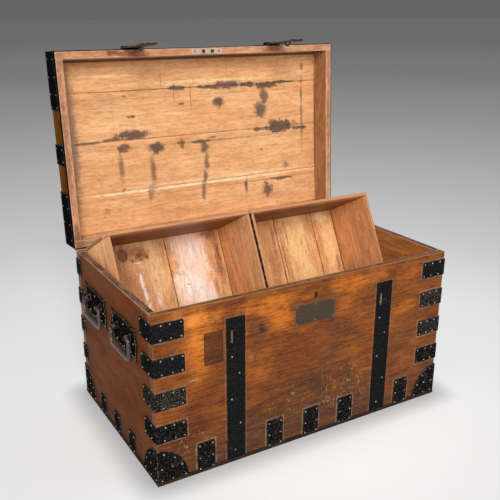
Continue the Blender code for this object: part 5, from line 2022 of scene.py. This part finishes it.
FRONT_MARKS = (
    front_mark(-0.36, 0.42, 0.075, 0.13, GLOW, 1.0, grain=14.0, ragged=0.5),
    front_mark(-0.42, 0.45, 0.05, 0.04, GLOW, 0.8),
    front_mark(-0.36, 0.455, 0.09, 0.04, GOLD, 0.85, ragged=0.6),
    front_mark(-0.355, 0.40, 0.045, 0.04, GOLD, 0.55),
    front_mark(-0.14, 0.45, 0.12, 0.05, GLOW, 0.9),
    front_mark(-0.10, 0.40, 0.05, 0.05, GLOW, 0.85),
    front_mark(0.14, 0.455, 0.12, 0.035, GLOW, 0.75),
    front_mark(0.12, 0.385, 0.07, 0.06, GLOW, 0.6),
    front_mark(0.35, 0.43, 0.07, 0.05, GLOW, 0.5),
    front_mark(0.34, 0.34, 0.05, 0.04, GLOW, 0.45),
    front_mark(-0.17, 0.27, 0.07, 0.07, GLOW, 0.5, grain=20.0),
    front_mark(-0.36, 0.32, 0.05, 0.08, GLOW, 0.5),
    front_mark(-0.30, 0.475, 0.18, 0.02, RED, 0.5),
    front_mark(0.0, 0.40, 0.09, 0.06, BROWN, 0.85),
    front_mark(0.06, 0.28, 0.19, 0.10, BROWN, 0.85, grain=14.0),
    front_mark(-0.02, 0.30, 0.10, 0.05, RED, 0.6),
    front_mark(0.33, 0.22, 0.12, 0.11, BROWN, 0.7),
    front_mark(-0.36, 0.17, 0.12, 0.09, RED, 0.85),
    front_mark(0.0, 0.19, 0.46, 0.06, BROWN, 0.6, grain=10.0),
    # The lower front darker: its own tone with painted shade.
    front_mark(0.0, 0.03, 0.70, 0.18, LOW_TONE_AND_SHADE, 0.97, grain=12.0, soft=0.7, ragged=0.5),
    front_mark(-0.36, 0.155, 0.12, 0.070, (0.070, 0.021, 0.007), 0.8),
    front_mark(-0.05, 0.165, 0.20, 0.060, (0.060, 0.024, 0.012), 0.65),
    front_mark(-0.316, 0.363, 0.026, 0.045, (0.068, 0.022, 0.011), 0.88, MarkKind.PATCH),
    front_mark(-0.183, 0.372, 0.036, 0.040, (0.12, 0.043, 0.02), 0.85, grain=40.0, soft=0.35, ragged=0.7),
    front_mark(-0.170, 0.386, 0.010, 0.016, (0.03, 0.014, 0.008), 0.8, grain=60.0, soft=0.5),
    front_mark(0.176, 0.393, 0.008, 0.010, (0.06, 0.025, 0.012), 0.8, grain=60.0),
    front_mark(-0.378, 0.285, 0.028, 0.0035, (0.42, 0.30, 0.22), 0.7, grain=50.0, ragged=0.4),
    front_mark(0.101, 0.326, 0.009, 0.003, (0.55, 0.38, 0.26), 0.8, grain=50.0, ragged=0.4),
    front_mark(-0.205, 0.305, 0.014, 0.018, (0.28, 0.20, 0.15), 0.45, grain=50.0),
    front_mark(0.05, 0.15, 0.20, 0.08, PALE_SCRATCH, 0.5, MarkKind.SCRATCHES, 29.0, 0.5),
    front_mark(0.12, 0.13, 0.12, 0.09, PALE_SCRATCH, 0.55, MarkKind.SCRATCHES, 37.0, 0.5),
    front_mark(-0.07, 0.14, 0.10, 0.06, PALE_SCRATCH, 0.45, MarkKind.SCRATCHES, 33.0, 0.5),
    front_mark(-0.36, 0.10, 0.09, 0.05, PALE_SCRATCH, 0.4, MarkKind.SCRATCHES, 28.0, 0.5),
    front_mark(0.36, 0.18, 0.05, 0.08, PALE_SCRATCH, 0.3, MarkKind.SCRATCHES, 30.0, 0.5),
    front_mark(0.0, 0.0, 0.62, 0.0105, FOOT_EDGE_AND_SHADE, 0.93, MarkKind.BAND),
)
REAR_MARKS = (
    Mark((0.0, CHEST.end_y, 0.0), (0.62, DEEP, 0.17), LOW_TONE_AND_SHADE, 0.85, 0.8, 0.5, 12.0),
    Mark((0.1, CHEST.end_y, 0.30), (0.24, DEEP, 0.12), BROWN, 0.7, 0.8, 0.9, 14.0),
    Mark((0.0, CHEST.end_y, 0.0), (0.62, DEEP, 0.0105), FOOT_EDGE_AND_SHADE, 0.93, kind=MarkKind.BAND),
)


def side_marks(side: Side) -> tuple[Mark, ...]:
    """The marks of a side wall: darker at the foot and behind, redder under the handles.

    Args:
        side: The wall's side.

    Returns:
        The marks.
    """
    face = side.value * CHEST.side_x
    return (
        Mark((face, -0.02, 0.46), (DEEP, 0.20, 0.035), (0.19, 0.048, 0.008), 0.75, 0.9, 0.8, 16.0),
        Mark((face, -0.06, 0.30), (DEEP, 0.20, 0.045), (0.20, 0.052, 0.014), 0.6, 0.9, 0.8, 14.0),
        Mark((face, 0.24, 0.25), (DEEP, 0.10, 0.32), (0.085, 0.026, 0.010), 0.75, 0.9, 0.6, 10.0),
        Mark((face, 0.0, 0.02), (DEEP, 0.42, 0.10), (0.085, 0.036, 0.022), 0.85, 0.9, 0.5, 12.0),
        Mark((face, -0.26, 0.25), (DEEP, 0.03, 0.30), (0.11, 0.050, 0.032), 0.6, 0.9, 0.8, 20.0),
        Mark((face, 0.0, 0.0), (DEEP, 0.32, 0.0105), FOOT_EDGE_AND_SHADE, 0.93, kind=MarkKind.BAND),
    )


def lid_mark(
    across: float, along: float, wide: float, tall: float,
    strength: float = 0.9, soft: float = 0.4, ragged: float = 0.8, colour: Colour = INK,
) -> Mark:
    """A mark inside the lid: a stain, painted shade or a painted highlight.

    Args:
        across: Its middle, as a share of the width from the left edge.
        along: Its middle, as a share of the width from the rear edge.
        wide: Half its width, as such a share.
        tall: Half its height, as such a share.
        strength: How strong it is.
        soft: How soft its edge is.
        ragged: How ragged its edge is.
        colour: Its colour.

    Returns:
        The mark, in the lid's drawing.
    """
    size = CHEST.width
    centre = ((across - 0.5) * size, -CHEST.hinge_offset - along * size, CHEST.rail_top - LID_POSE.origin[2])
    return Mark(centre, (wide * size, tall * size, DEEP), colour, strength, soft, ragged, 52.0)


# Dark lines: the boards' cracks and joints, and the painted shadow line under the front rail.
CRACK_AND_SHADE_LINE: Colour = (0.085, 0.045, 0.024)
# The painted highlights on the beads and along a board edge inside the lid.
BOARD_HIGHLIGHT: Colour = (0.93, 0.66, 0.38)
# The painted soft shade on the boards just below the front rail.
UNDER_RAIL_SHADE: Colour = (0.60, 0.29, 0.15)
# Greyed wood, and the painted shadow band by the left rail.
GREY_AND_SHADE: Colour = (0.33, 0.20, 0.135)
# Marks inside the lid: stains, cracks and joints, with painted shadows, painted shade and painted highlights.
LID_STAINS_AND_SHADING = (
    # A painted shadow line on the boards under the front rail.
    (0.50, 0.5655, 0.90, 0.0060, 0.95, 0.4, 0.08, CRACK_AND_SHADE_LINE),
    (0.0235, 0.30, 0.0032, 0.34, 0.9, 0.7, 0.1, CRACK_AND_SHADE_LINE), (0.9770, 0.30, 0.0036, 0.34, 0.95, 0.7, 0.1, CRACK_AND_SHADE_LINE),
    (0.62, 0.468, 0.26, 0.0038, 0.7, 0.6, 0.3), (0.87, 0.305, 0.12, 0.0034, 0.75, 0.6, 0.3),
    # The second mark on the next line is the painted soft shade below the front rail.
    (0.20, 0.3155, 0.14, 0.0028, 0.7, 0.6, 0.3), (0.62, 0.535, 0.42, 0.018, 0.6, 0.8, 0.4, UNDER_RAIL_SHADE),
    # Painted highlights on the beads and along a board edge, here and on the next line.
    (0.17, 0.518, 0.22, 0.006, 0.5, 0.8, 0.3, BOARD_HIGHLIGHT), (0.5, 0.143, 0.55, 0.0085, 0.85, 0.4, 0.3, BOARD_HIGHLIGHT),
    (0.62, 0.155, 0.42, 0.006, 0.6, 0.5, 0.3, BOARD_HIGHLIGHT), (0.5, 0.488, 0.5, 0.010, 0.5, 0.9, 0.4, BOARD_HIGHLIGHT),
    # The first mark on the next line is a painted shadow band down the boards by the left rail.
    (0.040, 0.33, 0.030, 0.30, 0.9, 0.5, 0.5, GREY_AND_SHADE), (0.15, 0.445, 0.14, 0.012, 0.3, 0.9, 0.7, GREY_AND_SHADE),
    (0.30, 0.469, 0.30, 0.0014, 0.9, 0.5, 0.5, CRACK_AND_SHADE_LINE), (0.84, 0.469, 0.18, 0.0013, 0.9, 0.5, 0.5, CRACK_AND_SHADE_LINE),
    (0.50, 0.443, 0.52, 0.0008, 0.6, 0.5, 0.6, CRACK_AND_SHADE_LINE), (0.50, 0.312, 0.52, 0.0010, 0.8, 0.5, 0.6, CRACK_AND_SHADE_LINE),
    (0.50, 0.286, 0.52, 0.0013, 0.9, 0.5, 0.6, CRACK_AND_SHADE_LINE), (0.50, 0.146, 0.52, 0.0009, 0.7, 0.5, 0.6, CRACK_AND_SHADE_LINE),
    (0.50, 0.121, 0.52, 0.0009, 0.7, 0.5, 0.6, CRACK_AND_SHADE_LINE), (0.416, 0.470, 0.042, 0.0095),
    (0.53, 0.468, 0.05, 0.008), (0.605, 0.470, 0.080, 0.017, 0.9, 0.5, 0.6), (0.69, 0.468, 0.04, 0.009),
    (0.765, 0.463, 0.065, 0.013, 0.95), (0.83, 0.471, 0.06, 0.006),
    (0.574, 0.417, 0.030, 0.023, 0.95, 0.6, 0.45), (0.757, 0.428, 0.022, 0.044, 0.85, 0.6, 0.45),
    (0.743, 0.378, 0.032, 0.036, 0.9, 0.6, 0.5), (0.919, 0.355, 0.009, 0.19, 0.6, 0.9, 0.5),
    (0.921, 0.521, 0.011, 0.022, 0.5, 0.7, 0.7), (0.918, 0.43, 0.005, 0.05, 0.6, 0.7, 0.9),
    (0.824, 0.315, 0.066, 0.029, 0.97, 0.4, 0.65), (0.74, 0.309, 0.050, 0.008, 0.85),
    (0.915, 0.302, 0.045, 0.007, 0.9), (0.248, 0.329, 0.078, 0.019, 0.95, 0.5, 0.45),
    (0.187, 0.319, 0.042, 0.006, 0.85), (0.087, 0.312, 0.050, 0.006, 0.7),
    (0.215, 0.287, 0.022, 0.016, 0.85), (0.202, 0.225, 0.015, 0.070, 0.7, 0.8, 0.45),
    (0.329, 0.279, 0.036, 0.025, 0.97, 0.5, 0.4), (0.314, 0.205, 0.015, 0.085, 0.75, 0.8, 0.45),
    (0.298, 0.130, 0.015, 0.030, 0.6, 0.6, 0.8), (0.427, 0.284, 0.017, 0.018, 0.85),
    (0.494, 0.286, 0.045, 0.006, 0.85), (0.508, 0.262, 0.020, 0.022, 0.85, 0.5, 0.8),
    (0.516, 0.215, 0.015, 0.050, 0.85, 0.8, 0.45), (0.508, 0.165, 0.014, 0.040, 0.8, 0.8, 0.45),
    (0.499, 0.110, 0.014, 0.050, 0.75, 0.8, 0.45),
    (0.548, 0.297, 0.016, 0.005, 0.75, 0.5, 0.8, (0.20, 0.08, 0.045)),
    (0.848, 0.167, 0.018, 0.016, 0.6, 0.7, 0.9), (0.819, 0.122, 0.062, 0.007, 0.9),
    (0.765, 0.085, 0.030, 0.038, 0.85, 0.6, 0.8), (0.673, 0.110, 0.010, 0.042, 0.85, 0.7, 0.5),
    (0.140, 0.088, 0.014, 0.016, 0.6, 0.7, 0.9, (0.30, 0.13, 0.08)),
    (0.204, 0.150, 0.011, 0.020, 0.5, 0.7, 0.9), (0.360, 0.500, 0.0013, 0.045, 0.8, 0.6, 0.4, CRACK_AND_SHADE_LINE),
    (0.405, 0.456, 0.0014, 0.046, 0.9, 0.6, 0.4, CRACK_AND_SHADE_LINE),
    (0.466, 0.440, 0.0014, 0.070, 0.9, 0.6, 0.4, CRACK_AND_SHADE_LINE),
    (0.479, 0.491, 0.0013, 0.018, 0.8, 0.6, 0.4, CRACK_AND_SHADE_LINE),
    (0.608, 0.520, 0.0012, 0.024, 0.6, 0.6, 0.4, CRACK_AND_SHADE_LINE),
    (0.253, 0.387, 0.017, 0.0055, 0.95, 0.4, 0.9, CRACK_AND_SHADE_LINE),
    (0.431, 0.417, 0.013, 0.0048, 0.85, 0.4, 0.9, CRACK_AND_SHADE_LINE),
    (0.229, 0.453, 0.006, 0.003, 0.7, 0.4, 0.9, CRACK_AND_SHADE_LINE), (0.741, 0.236, 0.006, 0.003, 0.9, 0.4, 0.9, CRACK_AND_SHADE_LINE),
    (0.250, 0.241, 0.004, 0.0025, 0.8, 0.4, 0.9, CRACK_AND_SHADE_LINE), (0.13, 0.19, 0.012, 0.024, 0.3, 0.8, 0.9, GREY_AND_SHADE),
)
LID_MARKS = tuple(lid_mark(*row) for row in LID_STAINS_AND_SHADING)


def rim_mark(x: float, reach: float, wide: float, tall: float, colour: Colour, strength: float) -> Mark:
    """A mark on the lid's rim, by its place from the rear edge."""
    return Mark((x, -CHEST.hinge_offset - reach, 0.0), (wide, tall, DEEP), colour, strength, 0.8, 0.8, 52.0)


# The dark brown of the painted shadows that the hasps cast on the front rail's rim.
HASP_SHADOW: Colour = (0.25, 0.075, 0.03)
# Painted shade on the rails' inner faces: down the right and the left rail, and along the front rail by the
# boards.
RAIL_SHADE_MARKS = (
    Mark((CHEST.side_x - 0.02, -0.3, 0.04), (0.03, 0.6, 0.2), (0.33, 0.140, 0.058), 0.75, 0.3, 0.3, 16.0),
    Mark((-CHEST.side_x + 0.02, -0.3, 0.04), (0.03, 0.6, 0.2), (0.33, 0.18, 0.11), 0.6, 0.3, 0.6, 16.0),
    Mark((0.0, -0.58, 0.06), (0.52, 0.04, 0.012), (0.30, 0.12, 0.05), 0.5, 0.9, 0.6, 16.0),
)
# Marks on the lid's rim: stains, the painted shadows of the hasps and painted shade along the rear rail.
RIM_MARKS = tuple(
    rim_mark(*row)
    for row in (
        # Painted shadows of the hasps on the front rail's rim, here and on the next three lines.
        (-0.315, 0.572, 0.035, 0.022, (0.16, 0.055, 0.022), 1.0),
        (-0.27, 0.566, 0.05, 0.014, HASP_SHADOW, 0.9),
        (-0.23, 0.575, 0.03, 0.010, HASP_SHADOW, 0.8),
        (0.235, 0.566, 0.04, 0.014, HASP_SHADOW, 0.85),
        (-0.48, 0.30, 0.012, 0.25, (0.20, 0.10, 0.065), 0.7),
        (-0.475, 0.55, 0.03, 0.05, (0.25, 0.12, 0.08), 0.6),
        (-0.47, 0.03, 0.04, 0.05, (0.12, 0.06, 0.04), 0.8),
        (0.475, 0.30, 0.008, 0.30, (0.22, 0.11, 0.07), 0.6),
        # Painted shade along the rear rail's rim.
        (0.0, 0.01, 0.5, 0.012, (0.22, 0.10, 0.05), 0.6),
    )
)


# A dark line along the foot of each tray wall; painted shade on the wall tops, on the faces by the gap
# between the two trays, and on the upper wall's inner face, which faces down.
FOOT_LINE = Mark((0.0, 0.26, 0.008), (0.9, 0.6, 0.0060), (0.070, 0.026, 0.012), 0.9, kind=MarkKind.BAND)
MIDDLE_SHADE = Mark((0.0, 0.26, 0.11), (0.0040, 0.6, 0.3), (0.014, 0.008, 0.005), 0.95, kind=MarkKind.BAND)
TOP_SHADE = Mark((0.0, 0.26, 0.224), (0.9, 0.6, 0.0022), (0.40, 0.18, 0.085), 0.75, kind=MarkKind.BAND)
UPPER_SHADE = Mark((0.0, 0.52, 0.1), (0.9, 0.04, 0.102), (0.15, 0.072, 0.026), 0.85, 0.12, 0.1, 20.0)
PALE: Colour = (1.0, 0.70, 0.53)
WHITE: Colour = (1.0, 0.88, 0.80)
KNOT: Colour = (0.13, 0.05, 0.025)
STAIN: Colour = (0.33, 0.12, 0.045)
TRAY_FLOOR_Z = 0.008
LEFT_SPOTS = (
    (-0.34, 0.40, 0.11, 0.20, (0.60, 0.25, 0.11), 0.6), (-0.36, 0.42, 0.07, 0.14, STAIN, 0.55),
    (-0.13, 0.40, 0.080, 0.27, PALE, 1.0, 14.0, 0.5, 0.5), (-0.19, 0.33, 0.03, 0.10, PALE, 0.7),
    (-0.26, 0.38, 0.03, 0.20, (0.90, 0.56, 0.30), 0.6),
    (-0.355, 0.486, 0.021, 0.025, KNOT, 0.9, 50.0, 0.3, 0.4),
    (-0.354, 0.486, 0.011, 0.014, STAIN, 0.75, 50.0, 0.3, 0.6),
    (-0.299, 0.479, 0.040, 0.030, (0.29, 0.10, 0.038), 0.9, 50.0, 0.6),
    (-0.303, 0.480, 0.010, 0.010, KNOT, 0.9, 50.0, 0.5, 0.5),
    (-0.279, 0.470, 0.008, 0.008, KNOT, 0.9, 50.0, 0.5, 0.5),
    (-0.327, 0.464, 0.008, 0.008, KNOT, 0.9, 50.0, 0.5, 0.5),
    (-0.299, 0.462, 0.006, 0.005, KNOT, 0.8, 50.0), (-0.312, 0.455, 0.022, 0.005, WHITE, 0.6, 50.0),
    (-0.312, 0.395, 0.007, 0.045, WHITE, 0.8, 50.0), (-0.307, 0.350, 0.007, 0.050, WHITE, 0.85, 50.0),
    (-0.302, 0.300, 0.015, 0.034, WHITE, 0.95, 50.0), (-0.268, 0.325, 0.008, 0.030, WHITE, 0.85, 50.0),
    (-0.150, 0.36, 0.055, 0.08, WHITE, 0.85, 20.0, 0.6), (-0.110, 0.30, 0.045, 0.06, WHITE, 0.8, 50.0, 0.6),
    (-0.130, 0.46, 0.030, 0.05, WHITE, 0.6, 20.0), (-0.185, 0.49, 0.015, 0.03, WHITE, 0.5, 50.0),
    (-0.035, 0.42, 0.026, 0.13, STAIN, 0.9), (-0.028, 0.44, 0.010, 0.06, KNOT, 0.8, 50.0),
    (-0.055, 0.51, 0.035, 0.02, KNOT, 0.7, 50.0), (-0.06, 0.33, 0.012, 0.05, STAIN, 0.6, 50.0),
)
RIGHT_SPOTS = (
    (0.17, 0.40, 0.035, 0.20, STAIN, 0.65), (0.09, 0.40, 0.06, 0.25, (0.62, 0.24, 0.075), 0.7),
    (0.29, 0.40, 0.065, 0.25, (0.93, 0.58, 0.24), 0.85), (0.41, 0.38, 0.035, 0.20, (0.90, 0.56, 0.25), 0.8),
    (0.40, 0.50, 0.05, 0.02, (0.93, 0.66, 0.34), 0.8), (0.19, 0.44, 0.008, 0.09, KNOT, 0.6, 50.0),
    (0.22, 0.37, 0.004, 0.12, KNOT, 0.8, 50.0, 0.5), (0.245, 0.46, 0.004, 0.05, KNOT, 0.7, 50.0),
    (0.30, 0.42, 0.006, 0.03, STAIN, 0.6, 50.0), (0.435, 0.33, 0.01, 0.04, KNOT, 0.5, 50.0),
)


def tray_mark(
    x: float, y: float, wide: float, tall: float, colour: Colour, strength: float,
    grain: float = 20.0, ragged: float = 0.8, soft: float = 0.8,
) -> Mark:
    """A knot, a stain or a pale scrape on a tray's floor, in its drawing."""
    return Mark((x, y, TRAY_FLOOR_Z), (wide, tall, DEEP), colour, strength, soft, ragged, grain)


def tray_marks(side: Side) -> tuple[Mark, ...]:
    """All the marks on a tray's floor."""
    return tuple(tray_mark(*row) for row in (LEFT_SPOTS if side is Side.LEFT else RIGHT_SPOTS))


# Studio


@dataclass
class Studio:
    """A plain pale floor, soft light and the camera of the photograph's view."""

    eye: Triple = (-1.06957, -1.74715, 1.18170)
    azimuth: float = 30.401
    dip: float = 20.071
    focal: float = 50.86
    shift: Pair = (0.00458, 0.03606)
    floor_size: float = 90.0
    # The floor's tone by distance from the chest: a painted falloff of the studio light.
    floor_tones: Sequence[Pair] = (
        (0.0, 1.0), (0.5, 0.99), (0.65, 0.88), (0.8, 0.82), (1.25, 0.71), (1.9, 0.55), (3.0, 0.435),
        (4.4, 0.345), (6.7, 0.258), (12.0, 0.183), (30.0, 0.136),
    )
    floor_bounce: Colour = (0.7, 0.7, 0.7)
    # The painted contact shadow: its reach and its darkest tone.
    contact: Pair = (0.10, 0.62)
    sky_tone: float = 0.132
    ambient: float = 0.42
    sensor: float = 36.0

    def build(self) -> None:
        """Set up floor, world, lamps and camera."""
        self._floor()
        self._world()
        self._sun("key", (-0.36, -0.80, 0.48), 2.75, 30.0)
        self._sun("fill", (0.5, -0.7, 0.5), 0.3, 90.0)
        self._sun("top", (0.0, 0.0, 1.0), 0.55, 90.0)
        self._camera()
        bpy.context.scene.view_settings.view_transform = "Standard"

    def _floor(self) -> None:
        """A round-toned floor, pale under the chest and greyer far away, a painted falloff of the studio
        light, with a painted contact shadow round the chest's foot.
        """
        shape = bmesh.new()
        bmesh.ops.create_grid(shape, x_segments=1, y_segments=1, size=self.floor_size)
        mesh = bpy.data.meshes.new("studio_floor")
        shape.to_mesh(mesh)
        shape.free()
        floor = bpy.data.objects.new("studio_floor", mesh)
        bpy.context.scene.collection.objects.link(floor)
        made, graph, shader = new_material("studio_floor")
        mesh.materials.append(made)
        place = graph.add("TexCoord").outputs["Object"]
        away = graph.length(place)
        reach = self.floor_tones[-1][0]
        ramp = graph.add("ValToRGB", {"Fac": graph.math("DIVIDE", away, reach)})
        stops = ramp.color_ramp.elements
        while len(stops) < len(self.floor_tones):
            stops.new(0.5)
        for stop, (distance, tone) in zip(stops, self.floor_tones):
            stop.position = distance / reach
            stop.color = (tone, tone, tone, 1.0)
        # A painted contact shadow: the floor darkens towards the chest's footprint.
        beyond = graph.vector("SUBTRACT", graph.vector("ABSOLUTE", place), (CHEST.side_x, CHEST.end_y, 0.0))
        apart = graph.length(graph.vector("MAXIMUM", beyond, (0.0, 0.0, 0.0)))
        shade = graph.remap(apart, 0.0, self.contact[0], self.contact[1], 1.0)
        tone = graph.mix(1.0, ramp.outputs["Color"], shade, "MULTIPLY")
        seen = graph.add("LightPath").outputs["Is Camera Ray"]
        graph.feed(shader["Base Color"], graph.mix(seen, self.floor_bounce, tone))
        graph.feed(shader["Roughness"], 0.9)
        graph.feed(shader["Specular IOR Level"], 0.0)

    def _world(self) -> None:
        """An even grey world that lights softly from all sides."""
        world = bpy.data.worlds.new("studio_world")
        bpy.context.scene.world = world
        world.use_nodes = True
        graph = Graph(world.node_tree)
        back = world.node_tree.nodes["Background"]
        rays = graph.add("LightPath")
        seen = graph.math("MAXIMUM", rays.outputs["Is Camera Ray"], rays.outputs["Is Transmission Ray"])
        tone = graph.mix(seen, (self.ambient,) * 3, (self.sky_tone,) * 3)
        graph.feed(back.inputs["Color"], tone)

    def _sun(self, name: str, toward: Triple, strength: float, spread: float) -> None:
        """Add one soft lamp that shines from a direction.

        Args:
            name: Its name.
            toward: The direction from the chest to it.
            strength: How bright it is.
            spread: How wide it is, in degrees.
        """
        data = bpy.data.lights.new(name, "SUN")
        data.energy = strength
        data.angle = math.radians(spread)
        lamp = bpy.data.objects.new(name, data)
        bpy.context.scene.collection.objects.link(lamp)
        lamp.rotation_euler = Vector(toward).to_track_quat("Z", "Y").to_euler()

    def _camera(self) -> None:
        """The camera of the photograph."""
        data = bpy.data.cameras.new("camera")
        data.lens = self.focal
        data.sensor_width = self.sensor
        data.sensor_fit = "AUTO"
        data.shift_x, data.shift_y = self.shift
        camera = bpy.data.objects.new("camera", data)
        bpy.context.scene.collection.objects.link(camera)
        camera.location = self.eye
        turn, dip = math.radians(self.azimuth), math.radians(self.dip)
        look = Vector((math.sin(turn) * math.cos(dip), math.cos(turn) * math.cos(dip), -math.sin(dip)))
        camera.rotation_euler = look.to_track_quat("-Z", "Y").to_euler()
        bpy.context.scene.camera = camera


def main() -> None:
    """Build the classes in order."""
    logging.basicConfig(level=logging.INFO, format="%(name)s %(message)s")
    shop = Workshop()
    Studio().build()
    Carcase(shop).build()
    Handles(shop).build()
    CarcaseIron(shop).build()
    BoxLock(shop).build()
    Lid(shop).build()
    for side in Side:
        Tray(shop, side).build()


if __name__ == "__main__":
    main()
